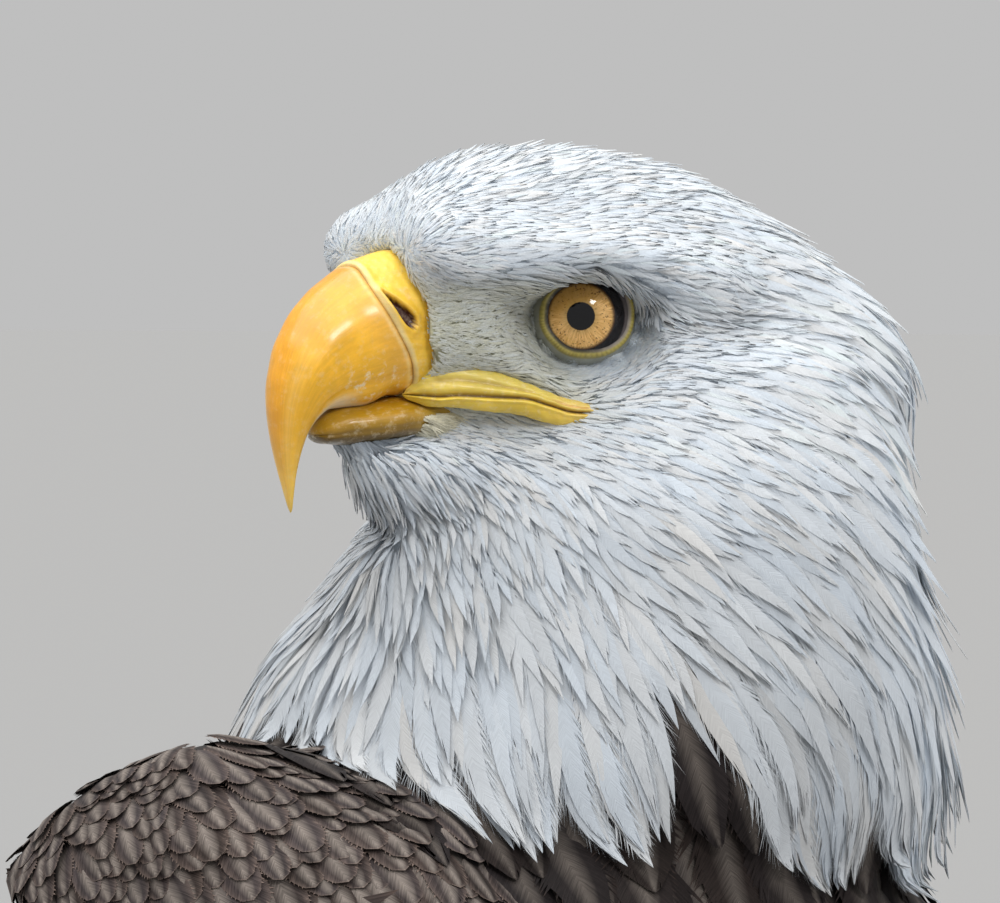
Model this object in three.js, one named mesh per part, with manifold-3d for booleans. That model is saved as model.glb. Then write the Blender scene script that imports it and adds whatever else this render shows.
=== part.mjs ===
// A life-size bald eagle, standing on level ground with its wings folded and its head turned to its left.
// Millimetres, +Z up. The bird faces -Y and its left side is +X. The soles of its feet lie at Z = 0.
// Every solid is the outer form of the plumage, out to the feather tips, parted into the pieces a person would name.
import * as THREE from "three";
import { mergeVertices } from "three/addons/utils/BufferGeometryUtils.js";
import Module from "manifold-3d";

const wasm = await Module();
wasm.setup();

// Driving dimensions.
const EYE_HEIGHT = 614; // from the ground to the eyes
const HEAD_TURN = 63; // degrees, towards the bird's left
const HEAD_AT = [30, -50]; // X and Y of the point between the eyes
const EYE_RADIUS = 11.5;
const EYE_SPREAD = 13.2; // from the head's middle plane to an eyeball's centre
const EYE_SET_BACK = 6.1; // an eyeball's centre behind the line between the pupils
const TRUNK_TOP = 516;
const WRIST = [112, -104, 472]; // the bend of the folded left wing
const WING_TIP = [22, 347, 114];
const WING_THICKNESS = 29;
const TAIL_ROOT = [0, 128, 242];
const TAIL_TIP = [0, 380, 68];
const TAIL_HALF_WIDTH = 56;
const FOOT_AT = [62, 0]; // X and Y of the left foot's ball
const SHANK_RADIUS = 8.4;
const ANKLE = [62, 28, 106];
const TOE_RADIUS = 7.4;
const TOE_HEIGHT = 6.1; // centre line of a toe above the ground, low enough that its pads are cut flat
const GAP = 0.3; // between neighbouring solids
const LEAST_PIECE = 2000; // cubic millimetres; a cut leaves smaller scraps, which are dropped

// Each toe: name, heading in degrees outwards from straight ahead, length without its claw, claw length.
const TOES = [
  ["inner", -34, 54, 35],
  ["middle", 2, 74, 31],
  ["outer", 38, 57, 27],
  ["hind", 172, 36, 40],
];

const LEFT = new THREE.Vector3(1, 0, 0);
const RIGHT = new THREE.Vector3(-1, 0, 0);
const AHEAD = new THREE.Vector3(0, -1, 0);
// The way a wing's outer face looks at the wrist and at its tip, and how far its edges bow in to the body there.
const WING_LEAN = new THREE.Vector3(1, -0.1, 0.05);
const WING_TIP_LEAN = new THREE.Vector3(0.25, 0.5, 0.85);
const WING_BOW = [30, 4];

// ---- Building solids --------------------------------------------------------------------------

function welded(geometry) {
  const bare = geometry.clone();
  bare.deleteAttribute("normal");
  bare.deleteAttribute("uv");
  return mergeVertices(bare, 1e-4);
}

function solidOf(geometry) {
  const { index, attributes } = welded(geometry);
  const numbers = { numProp: 3, vertProperties: attributes.position.array, triVerts: index.array };
  const made = new wasm.Manifold(new wasm.Mesh(numbers));
  if (made.volume() > 0) return made;
  const turned = index.array.slice();
  for (let i = 0; i < turned.length; i += 3) [turned[i + 1], turned[i + 2]] = [turned[i + 2], turned[i + 1]];
  return new wasm.Manifold(new wasm.Mesh({ ...numbers, triVerts: turned }));
}

function geometryOf(solid) {
  const { vertProperties, triVerts } = solid.getMesh();
  const geometry = new THREE.BufferGeometry();
  geometry.setAttribute("position", new THREE.BufferAttribute(vertProperties, 3));
  geometry.setIndex(new THREE.BufferAttribute(triVerts, 1));
  return geometry;
}

// A geometry pushed out along its normals, which a neighbour is cut by so that the two don't touch.
function grown(geometry, distance = GAP) {
  const out = welded(geometry);
  out.computeVertexNormals();
  const { position, normal } = out.attributes;
  const volumeSign = Math.sign(signedVolume(out));
  for (let i = 0; i < position.count; i++) {
    const p = new THREE.Vector3().fromBufferAttribute(position, i);
    const n = new THREE.Vector3().fromBufferAttribute(normal, i);
    position.setXYZ(i, ...p.addScaledVector(n, distance * volumeSign).toArray());
  }
  return out;
}

function signedVolume({ index, attributes: { position } }) {
  const corner = (k) => new THREE.Vector3().fromBufferAttribute(position, index.array[k]);
  let sum = 0;
  for (let i = 0; i < index.count; i += 3) sum += corner(i).dot(corner(i + 1).cross(corner(i + 2)));
  return sum / 6;
}

// A ball whose rings are moved onto the sections of a form. section(t) gives its centre, its side, up and down
// half-axes as vectors, and its bow, which carries the upper and lower edges sideways. square is 2 for an
// ellipse and more for a boxier ring; ends are the shares of the length that round off at the start and the end.
function swept(section, { along = 20, around = 20, square = 2, ends = [0.06, 0.06] } = {}) {
  const geometry = new THREE.SphereGeometry(1, around, along);
  const { position, uv } = geometry.attributes;
  for (let i = 0; i < position.count; i++) {
    const t = (1 - Math.cos(Math.PI * (1 - uv.getY(i)))) / 2;
    const turn = 2 * Math.PI * uv.getX(i);
    const { centre, side, up, down, bow } = section(t);
    const start = Math.max(0, 1 - t / ends[0]);
    const end = Math.max(0, 1 - (1 - t) / ends[1]);
    const round = Math.sqrt(Math.max(0, 1 - Math.max(start, end) ** 2));
    const bulge = (c) => Math.sign(c) * Math.abs(c) ** (2 / square) * round;
    const across = bulge(Math.cos(turn));
    const height = bulge(Math.sin(turn));
    const p = centre.clone().addScaledVector(side, across);
    p.addScaledVector(height > 0 ? up : down, Math.abs(height));
    if (bow) p.addScaledVector(bow, height * height);
    position.setXYZ(i, p.x, p.y, p.z);
  }
  return geometry;
}

const smooth = (points) => new THREE.CatmullRomCurve3(points, false, "catmullrom", 0.5);

// A form along a line. rows hold x, y, z of the line, then the half-width, and the half-height above and below.
// lean is the direction that a section's width lies along, from the first row's to the last's; above is to the
// right of it, seen along the line. bow is how far the edges above and below bend back from the lean.
function loft(rows, { lean = [LEFT, LEFT], bow = [0, 0], ...options } = {}) {
  const line = smooth(rows.map(([x, y, z]) => new THREE.Vector3(x, y, z)));
  const sizes = smooth(rows.map((row) => new THREE.Vector3(...row.slice(3))));
  const section = (t) => {
    const ahead = line.getTangent(t);
    const side = lean[0].clone().lerp(lean[1], t);
    side.addScaledVector(ahead, -side.dot(ahead)).normalize();
    const up = new THREE.Vector3().crossVectors(side, ahead);
    const size = sizes.getPoint(t);
    return {
      centre: line.getPoint(t),
      side: side.clone().multiplyScalar(Math.max(size.x, 0.3)),
      up: up.clone().multiplyScalar(Math.max(size.y, 0.3)),
      down: up.clone().multiplyScalar(-Math.max(size.z, 0.3)),
      bow: side.multiplyScalar(-THREE.MathUtils.lerp(...bow, t)),
    };
  };
  return swept(section, options);
}

// A bill-like form, whose sections run from a lower edge to an upper one in the head's middle plane.
// rows hold the forward distance and height of the upper edge, the same of the lower edge, and the half-width.
function blade(rows, options) {
  const top = smooth(rows.map(([f, u]) => new THREE.Vector3(0, -f, u)));
  const bottom = smooth(rows.map(([, , f, u]) => new THREE.Vector3(0, -f, u)));
  const widths = smooth(rows.map((row) => new THREE.Vector3(row[4], 0, 0)));
  const section = (t) => {
    const high = top.getPoint(t);
    const low = bottom.getPoint(t);
    const half = high.clone().sub(low).multiplyScalar(0.5);
    return {
      centre: low.add(half),
      side: LEFT.clone().multiplyScalar(Math.max(widths.getPoint(t).x, 0.25)),
      up: half,
      down: half.clone().negate(),
    };
  };
  return swept(section, options);
}

function ellipsoid([x, y, z], [a, b, c], detail = 20) {
  return new THREE.SphereGeometry(1, detail, Math.round(detail * 0.7)).scale(a, b, c).translate(x, y, z);
}

function slab(size, at, tilt = [0, 0, 0]) {
  const box = new THREE.BoxGeometry(...size);
  return box.applyMatrix4(new THREE.Matrix4().makeRotationFromEuler(new THREE.Euler(...tilt))).translate(...at);
}

const joined = (geometries) => geometries.map(solidOf).reduce((all, one) => all.add(one));
const cutBy = (solid, geometries, distance) =>
  geometries.reduce((left, g) => left.subtract(solidOf(distance === 0 ? g : grown(g, distance))), solid);
const largest = (solid) => solid.decompose().sort((a, b) => b.volume() - a.volume())[0];

// ---- Frames and materials -------------------------------------------------------------------

const bird = new THREE.Group();
const headFrame = new THREE.Group();
headFrame.position.set(...HEAD_AT, EYE_HEIGHT);
headFrame.rotation.z = THREE.MathUtils.degToRad(HEAD_TURN);
bird.add(headFrame);
bird.updateMatrixWorld(true);

const finish = (color, roughness) => new THREE.MeshStandardMaterial({ color, roughness, metalness: 0 });
const WHITE_FEATHER = finish(0xe9edf0, 0.8);
const BROWN_FEATHER = finish(0x3a2f29, 0.75);
const YELLOW_HORN = finish(0xf0a818, 0.35);
const YELLOW_SKIN = finish(0xe2b52a, 0.5);
const BLACK_HORN = finish(0x17161a, 0.3);
const EYE = finish(0xd9a45c, 0.05);

// Adds a solid, given in the bird's frame, to a group as a named mesh in that group's own frame.
function add(group, name, solid, material) {
  const geometry = geometryOf(solid).applyMatrix4(group.matrixWorld.clone().invert());
  const mesh = new THREE.Mesh(geometry, material);
  mesh.name = name;
  group.add(mesh);
}

const onHead = (geometry) => geometry.clone().applyMatrix4(headFrame.matrixWorld);

// ---- Head, in the head's frame: -Y ahead, +X to its left, the origin between the eyes ---------

const skull = loft(
  [
    [0, -40, 4, 14, 16, 14],
    [0, -34, 3, 18, 25, 20],
    [0, -24, 2, 22, 31, 24],
    [0, -10, 2, 25, 34, 27],
    [0, 8, 1, 31, 35.5, 30],
    [0, 28, -3, 35, 36, 36],
    [0, 48, -11, 37, 33, 42],
    [0, 66, -24, 35, 29, 40],
    [0, 83, -37, 24, 24, 28],
  ],
  { along: 14, around: 18, square: 2.15, ends: [0.04, 0.1] },
);
const jaw = loft(
  [
    [0, -47, -27, 5, 3, 3],
    [0, -36, -30, 11, 7, 9],
    [0, -18, -33, 19, 13, 16],
    [0, 4, -35, 28, 20, 22],
    [0, 36, -32, 34, 30, 26],
  ],
  { along: 9, around: 14 },
);
const brow = loft(
  [
    [16, -36, 10, 5, 7, 5],
    [21, -27, 12, 6.5, 9, 5.5],
    [24, -14, 12.5, 6.5, 7, 5.5],
    [26.5, 0, 13, 6.5, 6.5, 5.5],
    [30, 16, 9, 7, 8, 6],
    [32, 34, 0, 6, 12, 10],
  ],
  { along: 8, around: 8 },
);
// The hollow before the eye, between the brow and the gape.
const lore = ellipsoid([34, -14, -1.5], [15, 25, 11.5], 11);
const eyeball = ellipsoid([EYE_SPREAD, EYE_SET_BACK, 0], Array(3).fill(EYE_RADIUS), 13);

const UPPER_BILL = [
  [22, 11, 24, -15, 13.5],
  [32, 14, 31, -17, 14],
  [42.5, 11.8, 37.5, -17, 12.4],
  [49, 9.2, 43.5, -19.2, 11],
  [56.6, 3.4, 48.5, -19.4, 9.8],
  [61.8, -4, 52.4, -20, 8.6],
  [64.3, -11.5, 55.3, -22, 7.2],
  [64.9, -17.9, 57.4, -25, 5.8],
  [64.4, -24.3, 58.7, -28.8, 4.4],
  [63.2, -30.6, 59.6, -33.2, 3],
  [61.6, -36.6, 60, -38, 1.7],
  [60.4, -41.4, 60, -41.6, 0.5],
];
const LOWER_BILL = [
  [24, -16.5, 26, -25, 11.5],
  [34, -17, 34, -26, 11],
  [44, -18.6, 42, -26.8, 9.2],
  [51, -20, 49, -27.2, 6.8],
  [55.4, -23.4, 54.4, -26.6, 3.4],
];
const maxilla = blade(UPPER_BILL, { along: 16, around: 12, square: 2.3, ends: [0.03, 0.03] });
const mandible = blade(LOWER_BILL, { along: 8, around: 10, square: 2.4, ends: [0.05, 0.12] });
// The yellow skin of the mouth's corner, from the bill to below the eye.
const gape = loft(
  [
    [12.8, -31, -16.6, 2.6, 6.2, 5.2],
    [16, -21, -16.2, 2.8, 5.6, 3.8],
    [21, -8, -17.8, 2.8, 3.8, 3.6],
    [26.4, 4.8, -21, 2, 2.2, 2.2],
  ],
  { along: 7, around: 8, ends: [0.1, 0.12] },
);
// The bare soft cere lies behind a slanting line across the upper bill.
const CERE_EDGE_TOP = [44, 12];
const CERE_EDGE_BOTTOM = [33.4, -13];

// ---- Neck, trunk and tail -------------------------------------------------------------------

const neckForm = loft(
  [
    [-2, -28, EYE_HEIGHT + 12, 34, 36, 34],
    [-3, -34, EYE_HEIGHT - 18, 48, 55, 41],
    [-1, -42, EYE_HEIGHT - 48, 60, 70, 47],
    [0, -50, EYE_HEIGHT - 80, 74, 80, 66],
    [0, -56, EYE_HEIGHT - 110, 82, 74, 76],
    [0, -58, EYE_HEIGHT - 132, 84, 68, 74],
  ],
  { along: 10, around: 20, ends: [0.12, 0.05] },
);
const trunkForm = loft(
  [
    [0, -66, TRUNK_TOP, 66, 46, 54],
    [0, -56, 485, 91, 63, 78],
    [0, -32, 438, 101, 70, 96],
    [0, 2, 376, 100, 78, 102],
    [0, 46, 316, 88, 72, 94],
    [0, 96, 268, 64, 48, 70],
    [0, 162, 218, 38, 20, 30],
  ],
  { along: 13, around: 20, square: 2.15, ends: [0.1, 0.08] },
);
const tailForm = loft(
  [
    [...TAIL_ROOT, 42, 20, 24],
    [0, 190, 200, 44, 14, 18],
    [0, 250, 158, 49, 9, 9],
    [0, 318, 112, TAIL_HALF_WIDTH - 2, 6.5, 6],
    [...TAIL_TIP, TAIL_HALF_WIDTH - 8, 4, 4],
  ],
  { along: 9, around: 16, square: 2.4, ends: [0.1, 0.05] },
);

// ---- The left wing and leg ------------------------------------------------------------------

// The folded wing is a plate against the trunk's side, from the wrist back to the longest flight feathers.
const wingPlate = loft(
  [
    [WRIST[0] - 2, WRIST[1] - 22, WRIST[2] - 22, 22, 46, 44],
    [WRIST[0], WRIST[1] + 10, WRIST[2] - 36, WING_THICKNESS + 1, 84, 62],
    [WRIST[0] - 6, WRIST[1] + 70, WRIST[2] - 78, WING_THICKNESS + 1, 88, 78],
    [93, 32, 338, WING_THICKNESS - 2, 82, 78],
    [71, 122, 276, 21, 70, 58],
    [50, 204, 217, 13, 44, 38],
    [33, 280, 162, 8, 27, 28],
    [...WING_TIP, 4.5, 18, 21],
  ],
  { lean: [WING_LEAN, WING_TIP_LEAN], bow: WING_BOW, along: 14, around: 14, ends: [0.08, 0.04] },
);
// The shoulder, and behind it the scapular and tertial feathers, which carry the back's curve onto the wing.
const shoulder = loft(
  [
    [100, -120, 470, 24, 30, 36],
    [96, -108, 480, 36, 38, 46],
    [88, -82, 487, 42, 43, 48],
    [75, -46, 464, 46, 38, 46],
    [60, 0, 417, 44, 34, 44],
    [46, 62, 355, 36, 28, 40],
    [34, 124, 293, 26, 20, 28],
    [23, 178, 244, 14, 9, 12],
  ],
  { along: 12, around: 12, ends: [0.1, 0.1] },
);
const thighForm = loft(
  [
    [48, 18, 316, 38, 64, 60],
    [53, 8, 250, 48, 74, 68],
    [58, 10, 192, 44, 60, 60],
    [61, 20, 144, 33, 40, 42],
    [62, 27, 104, 21, 24, 27],
    [62, 24, 78, 12, 16, 17],
  ],
  { along: 9, around: 12, ends: [0.1, 0.05] },
);
const shankForm = loft(
  [
    [...ANKLE, SHANK_RADIUS, SHANK_RADIUS + 1, SHANK_RADIUS + 1],
    [62, 21, 70, SHANK_RADIUS, SHANK_RADIUS + 0.6, SHANK_RADIUS + 0.6],
    [62, 11, 36, SHANK_RADIUS + 0.4, SHANK_RADIUS + 1, SHANK_RADIUS + 1],
    [FOOT_AT[0], 4, 16, SHANK_RADIUS + 3.4, 12, 12],
    [FOOT_AT[0], 1, -6, 9, 9, 9],
  ],
  { along: 7, around: 8, ends: [0.06, 0.12] },
);

// A claw leaves the toe's end pointing CLAW_RISE above the level and curves down to CLAW_FALL below it, with its
// tip held just clear of the ground. The toe's end is lifted to suit.
const CLAW_RISE = 0.6;
const CLAW_FALL = 1.15;
const CLAW_CLEARANCE = 1.4;
const bendOf = (clawLength) => clawLength / (CLAW_RISE + CLAW_FALL);
const clawBase = (clawLength) => CLAW_CLEARANCE + bendOf(clawLength) * (Math.cos(CLAW_RISE) - Math.cos(CLAW_FALL));

// A toe points along -Y from the ball of the foot, then is turned to its heading.
function toeForm(length, clawLength) {
  const r = TOE_RADIUS;
  const h = TOE_HEIGHT;
  return loft(
    [
      [0, 0, h + 3, r, r, r],
      [0, -length * 0.3, h + 0.6, r - 0.3, r - 0.4, r],
      [0, -length * 0.52, h, r - 1.4, r - 1.2, r - 0.6],
      [0, -length * 0.78, h, r - 1, r - 0.6, r - 0.1],
      [0, -length, clawBase(clawLength), r - 2.4, r - 2, r - 1.6],
    ],
    { lean: [RIGHT, RIGHT], along: 6, around: 8, ends: [0.08, 0.08] },
  );
}

function clawForm(length, clawLength) {
  const bend = bendOf(clawLength);
  const rows = [0, 0.25, 0.5, 0.75, 1].map((t) => {
    const pitch = (CLAW_RISE + CLAW_FALL) * t - CLAW_RISE;
    const thick = 4.8 * (1 - t) ** 0.8 + 0.35;
    const reach = length - 2.5 + bend * (Math.sin(pitch) + Math.sin(CLAW_RISE));
    const height = clawBase(clawLength) - bend * (Math.cos(CLAW_RISE) - Math.cos(pitch));
    return [0, -reach, height, thick * 0.8, thick, thick];
  });
  return loft(rows, { lean: [RIGHT, RIGHT], along: 6, around: 6, ends: [0.08, 0.03] });
}

// ---- The parted solids ------------------------------------------------------------------------

// The left-hand form as it is, and the same form reflected for the right.
const both = (geometry) => [geometry, geometry.clone().scale(-1, 1, 1)];
const pairOnHead = (geometry) => both(geometry).map(onHead);
const SIDES = ["left", "right"];

const ground = solidOf(slab([900, 900, 60], [0, 0, -30]));
const eyes = pairOnHead(eyeball);
const bills = [maxilla, mandible].map(onHead);
const gapes = pairOnHead(gape);
const wings = both(wingPlate);
const shoulders = both(shoulder);
const thighs = both(thighForm);
const shanks = both(shankForm);
const trunkAndNeck = [trunkForm, neckForm];

// The head parts from the neck at a plane that slopes from the throat up to the nape; the neck parts from
// the trunk where the white feathers end.
const headCut = onHead(slab([300, 300, GAP], [0, 30, -41], [0.16, 0, 0]));
const neckCut = slab([400, 400, GAP], [0, -50, EYE_HEIGHT - 103], [0.1, 0, 0]);
const core = joined([onHead(skull), onHead(jaw), ...pairOnHead(brow), ...trunkAndNeck]);
const hollowed = cutBy(cutBy(core, [...eyes, ...bills, ...gapes]), pairOnHead(lore), 0);
const [head, neck, trunk] = cutBy(hollowed, [headCut, neckCut], 0)
  .decompose()
  .filter((piece) => piece.volume() > LEAST_PIECE)
  .sort((a, b) => b.boundingBox().max[2] - a.boundingBox().max[2]);

add(headFrame, "head", head, WHITE_FEATHER);
add(bird, "neck", neck, WHITE_FEATHER);
add(bird, "trunk", trunk, BROWN_FEATHER);
add(bird, "tail", largest(cutBy(solidOf(tailForm), trunkAndNeck)), WHITE_FEATHER);

// The upper bill is parted into the cere and the horny hook by a thin slanting slab.
const [topAhead, topUp] = CERE_EDGE_TOP;
const [lowAhead, lowUp] = CERE_EDGE_BOTTOM;
const cereSlope = Math.atan2(topAhead - lowAhead, topUp - lowUp);
const cereMiddle = [0, -(topAhead + lowAhead) / 2, (topUp + lowUp) / 2];
const cereCut = onHead(slab([60, GAP, 80], cereMiddle, [cereSlope, 0, 0]));
const ahead = (piece) => piece.boundingBox().min[1];
const [hook, cere] = cutBy(solidOf(onHead(maxilla)), [cereCut], 0)
  .decompose()
  .sort((a, b) => ahead(a) - ahead(b));
add(headFrame, "bill_upper", hook, YELLOW_HORN);
add(headFrame, "cere", cere, YELLOW_SKIN);
add(headFrame, "bill_lower", largest(cutBy(solidOf(onHead(mandible)), [onHead(maxilla)])), YELLOW_HORN);

SIDES.forEach((word, i) => {
  add(headFrame, `eye_${word}`, solidOf(eyes[i]), EYE);
  add(headFrame, `gape_${word}`, largest(cutBy(solidOf(gapes[i]), bills)), YELLOW_SKIN);

  const wing = joined([wings[i], shoulders[i]]);
  const thigh = cutBy(solidOf(thighs[i]), [...trunkAndNeck, wings[i], shoulders[i]]);
  const shank = cutBy(solidOf(shanks[i]), [thighs[i]]).subtract(ground);
  add(bird, `wing_${word}`, largest(cutBy(wing, [...trunkAndNeck, tailForm])), BROWN_FEATHER);
  add(bird, `thigh_${word}`, largest(thigh), BROWN_FEATHER);
  add(bird, `shank_${word}`, largest(shank), YELLOW_SKIN);

  // Toes give way to the shank and to the toes made before them.
  const before = [shanks[i]];
  for (const [toe, heading, length, clawLength] of TOES) {
    const placed = (form) => {
      const turned = form.rotateZ(THREE.MathUtils.degToRad(heading));
      return both(turned.translate(FOOT_AT[0], FOOT_AT[1], 0))[i];
    };
    const digit = placed(toeForm(length, clawLength));
    const claw = placed(clawForm(length, clawLength));
    const pads = cutBy(solidOf(digit), before).subtract(ground);
    add(bird, `toe_${toe}_${word}`, largest(pads), YELLOW_SKIN);
    add(bird, `claw_${toe}_${word}`, largest(cutBy(solidOf(claw), [...before, digit])), BLACK_HORN);
    before.push(digit);
  }
});

// The part's origin is on the ground under the middle of its bounding box.
const bounds = new THREE.Box3().setFromObject(bird);
const middle = bounds.getCenter(new THREE.Vector3());
bird.position.set(-middle.x, -middle.y, -bounds.min.z);

export default bird;
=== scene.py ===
"""A life-size bald eagle: skin, feathers, bill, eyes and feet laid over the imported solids.

Lengths are millimetres in the frame's own axes until a mesh is made, and colours are linear. The head has
a frame of its own: ahead, left and up of the point between the eyes.
"""

import math

import bpy
import numpy as np
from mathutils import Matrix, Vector
from mathutils.bvhtree import BVHTree
from mathutils.kdtree import KDTree


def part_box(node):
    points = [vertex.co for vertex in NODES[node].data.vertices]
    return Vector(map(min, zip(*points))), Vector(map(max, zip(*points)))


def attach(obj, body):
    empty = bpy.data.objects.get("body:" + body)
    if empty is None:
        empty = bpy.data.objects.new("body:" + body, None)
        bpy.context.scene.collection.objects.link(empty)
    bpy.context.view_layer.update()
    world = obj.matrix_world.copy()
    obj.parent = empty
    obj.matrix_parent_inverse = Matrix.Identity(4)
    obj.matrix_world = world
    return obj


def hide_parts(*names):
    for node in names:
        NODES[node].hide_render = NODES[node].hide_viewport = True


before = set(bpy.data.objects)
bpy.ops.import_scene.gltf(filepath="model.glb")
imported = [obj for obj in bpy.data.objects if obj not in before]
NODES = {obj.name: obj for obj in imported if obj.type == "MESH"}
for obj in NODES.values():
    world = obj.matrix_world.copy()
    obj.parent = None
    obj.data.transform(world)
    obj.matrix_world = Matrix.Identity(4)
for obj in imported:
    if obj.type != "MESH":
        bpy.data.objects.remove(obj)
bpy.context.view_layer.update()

MM = 0.001
SIDES = (("left", 1), ("right", -1))

# ---- Numbers and directions ---------------------------------------------------------------------


def unit(v):
    return v / np.maximum(np.linalg.norm(v, axis=-1, keepdims=True), 1e-9)


def dot(a, b):
    return (a * b).sum(-1, keepdims=True)


def mix(a, b, t):
    return a + (b - a) * t


def ease(x, low, high):
    """A soft rise from 0 at low to 1 at high, or a fall where high is the lesser."""
    t = np.clip((x - low) / (high - low), 0, 1)
    return t * t * (3 - 2 * t)


def bell(x, middle, width):
    """1 at the middle, and about a third one width away."""
    return np.exp(-(((x - middle) / width) ** 2))


def painted(base, *layers):
    """A tint per vertex: a base colour and others laid over it, each with its share there."""
    tint = np.asarray(base, float)
    for colour, share in layers:
        tint = mix(tint, np.asarray(colour, float), np.asarray(share)[..., None])
    return tint


def mirror(points, axis):
    """Signs that fold points onto an axis's positive side, or unfold what was worked out there."""
    signs = np.ones_like(points)
    signs[:, axis] = np.where(points[:, axis] < 0, -1.0, 1.0)
    return signs


def spline(a, b, c, d, f):
    """The smooth line through a, b, c and d at share f of the way from b to c."""
    v0, v1 = (c - a) / 2, (d - b) / 2
    return (2 * b - 2 * c + v0 + v1) * f**3 + (-3 * b + 3 * c - 2 * v0 - v1) * f**2 + v0 * f + b


def open_curve(points, t):
    """A smooth line through points, from t of 0 at the first to 1 at the last."""
    points = np.asarray(points, float)
    n = len(points) - 1
    x = np.clip(t, 0, 1) * n
    i = np.minimum(x.astype(int), n - 1)
    p = np.vstack([2 * points[0] - points[1], points, 2 * points[-1] - points[-2]])
    return spline(p[i], p[i + 1], p[i + 2], p[i + 3], (x - i)[:, None])


def closed_curve(points, count):
    """A smooth closed line through points, at even parameters."""
    p = np.array(points, float)
    n = len(p)
    t = np.linspace(0, n, count, endpoint=False)
    i = t.astype(int)
    return spline(p[(i - 1) % n], p[i % n], p[(i + 1) % n], p[(i + 2) % n], (t - i)[:, None])


# ---- The head's frame and its eyes --------------------------------------------------------------

EYE_IN_FORM = np.array([30.558, -35.47])  # the left eye's centre before the part was centred on its box
LEFT_EYE = np.mean(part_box("eye_left"), axis=0) / MM
SHIFT = np.array([*(LEFT_EYE[:2] - EYE_IN_FORM), 0.0])
HEAD_TURN = math.radians(63)
HEAD_AT = np.array([30.0, -50.0, 614.0]) + SHIFT
FORWARD = np.array([math.sin(HEAD_TURN), -math.cos(HEAD_TURN), 0])
LEFTWARD = np.array([math.cos(HEAD_TURN), math.sin(HEAD_TURN), 0])
UPWARD = np.array([0.0, 0.0, 1.0])
HEAD_AXES = np.stack([FORWARD, LEFTWARD, UPWARD])

EYE_RADIUS = 11.5
EYE_IN_HEAD = np.array([-6.1, 13.2, 0.0])
EYE_TURN = math.radians(62)
EYE_LOOKS = np.array([math.cos(EYE_TURN), math.sin(EYE_TURN), 0.0])
EYE_BACK = np.array([-math.sin(EYE_TURN), math.cos(EYE_TURN), 0.0])
# The eye's opening, seen along the way it looks: back and up from the eyeball's middle.
OPENING = [
    (-8.7, -0.4), (-8.0, 3.4), (-5.0, 6.6), (-1.8, 7.7), (1.6, 8.0), (4.6, 7.6), (7.0, 6.2), (8.7, 3.4),
    (9.1, 0.4), (8.5, -3.0), (6.5, -5.5), (3.0, -7.2), (-1.6, -7.4), (-4.4, -6.6), (-6.5, -4.9),
    (-8.1, -2.8),
]


def on_head(p):
    return HEAD_AT + np.asarray(p, float) @ HEAD_AXES


def to_head(p):
    return (np.asarray(p) - HEAD_AT) @ HEAD_AXES.T


def round_the_eye(h):
    """Points of the head from the nearer eye: back, up and out along the way it looks."""
    away = h * mirror(h, 1) - EYE_IN_HEAD
    return away @ EYE_BACK, away[:, 2], away @ EYE_LOOKS


def lid_width(height):
    """The bare lid is narrow above, under the brow. height runs from -1 below the eye to 1 above."""
    return 1 - 0.68 * ease(height, 0.1, 0.85)


def past_lid(h):
    """How far a point of the head lies outside an eye's opening, and how wide the bare lid is there."""
    x, y, out = round_the_eye(h)
    opening = closed_curve(OPENING, 360)
    angle = np.arctan2(opening[:, 1], opening[:, 0])
    order = np.argsort(angle)
    radius = np.linalg.norm(opening, axis=1)
    reach = np.interp(np.arctan2(y, x), angle[order], radius[order], period=2 * math.pi)
    across = np.hypot(x, y)
    return np.where(out > 0, across - reach, 99.0), lid_width(y / np.maximum(across, 1e-6))


# ---- Meshes -------------------------------------------------------------------------------------


def mesh_object(name, co, faces, tint=None, vane=None, uv=None, normals=None):
    """An object from vertices in millimetres and triangles or quads. uv is per vertex or per corner."""
    me = bpy.data.meshes.new(name)
    co = np.asarray(co, float).reshape(-1, 3)
    faces = np.asarray(faces, np.int32)
    me.vertices.add(len(co))
    me.vertices.foreach_set("co", (co * MM).ravel())
    me.loops.add(faces.size)
    me.loops.foreach_set("vertex_index", faces.ravel())
    me.polygons.add(len(faces))
    me.polygons.foreach_set("loop_start", np.arange(0, faces.size, faces.shape[1], dtype=np.int32))
    me.update(calc_edges=True)
    me.polygons.foreach_set("use_smooth", np.ones(len(faces), bool))
    if tint is not None:
        rgba = np.ones((len(co), 4))
        rgba[:, :3] = tint.reshape(-1, 3)
        me.color_attributes.new("tint", "FLOAT_COLOR", "POINT").data.foreach_set("color", rgba.ravel())
    if vane is not None:
        me.attributes.new("vane", "FLOAT_VECTOR", "POINT").data.foreach_set("vector", vane.ravel())
    if uv is not None:
        per_loop = uv if len(uv) == faces.size else uv[faces.ravel()]
        me.uv_layers.new(name="OFBake").data.foreach_set("uv", per_loop.ravel())
    me.update()
    if normals is not None:
        me.normals_split_custom_set_from_vertices(normals)
    o = bpy.data.objects.new(name, me)
    bpy.context.scene.collection.objects.link(o)
    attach(o, "root")
    return o


def dressed(o, material, slot, *nodes):
    o.data.materials.clear()
    o.data.materials.append(material)
    if nodes:
        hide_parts(*nodes)
    return o


def grid(t, around, start=0.0):
    """The share along and the turn of each point of a grid round a form."""
    turn = np.linspace(0, 2 * math.pi, around, endpoint=False) + start
    return np.meshgrid(t, turn, indexing="ij")


def bunched(count):
    """Shares from 0 to 1 that lie closer at both ends."""
    return (1 - np.cos(np.linspace(0, math.pi, count))) / 2


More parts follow.
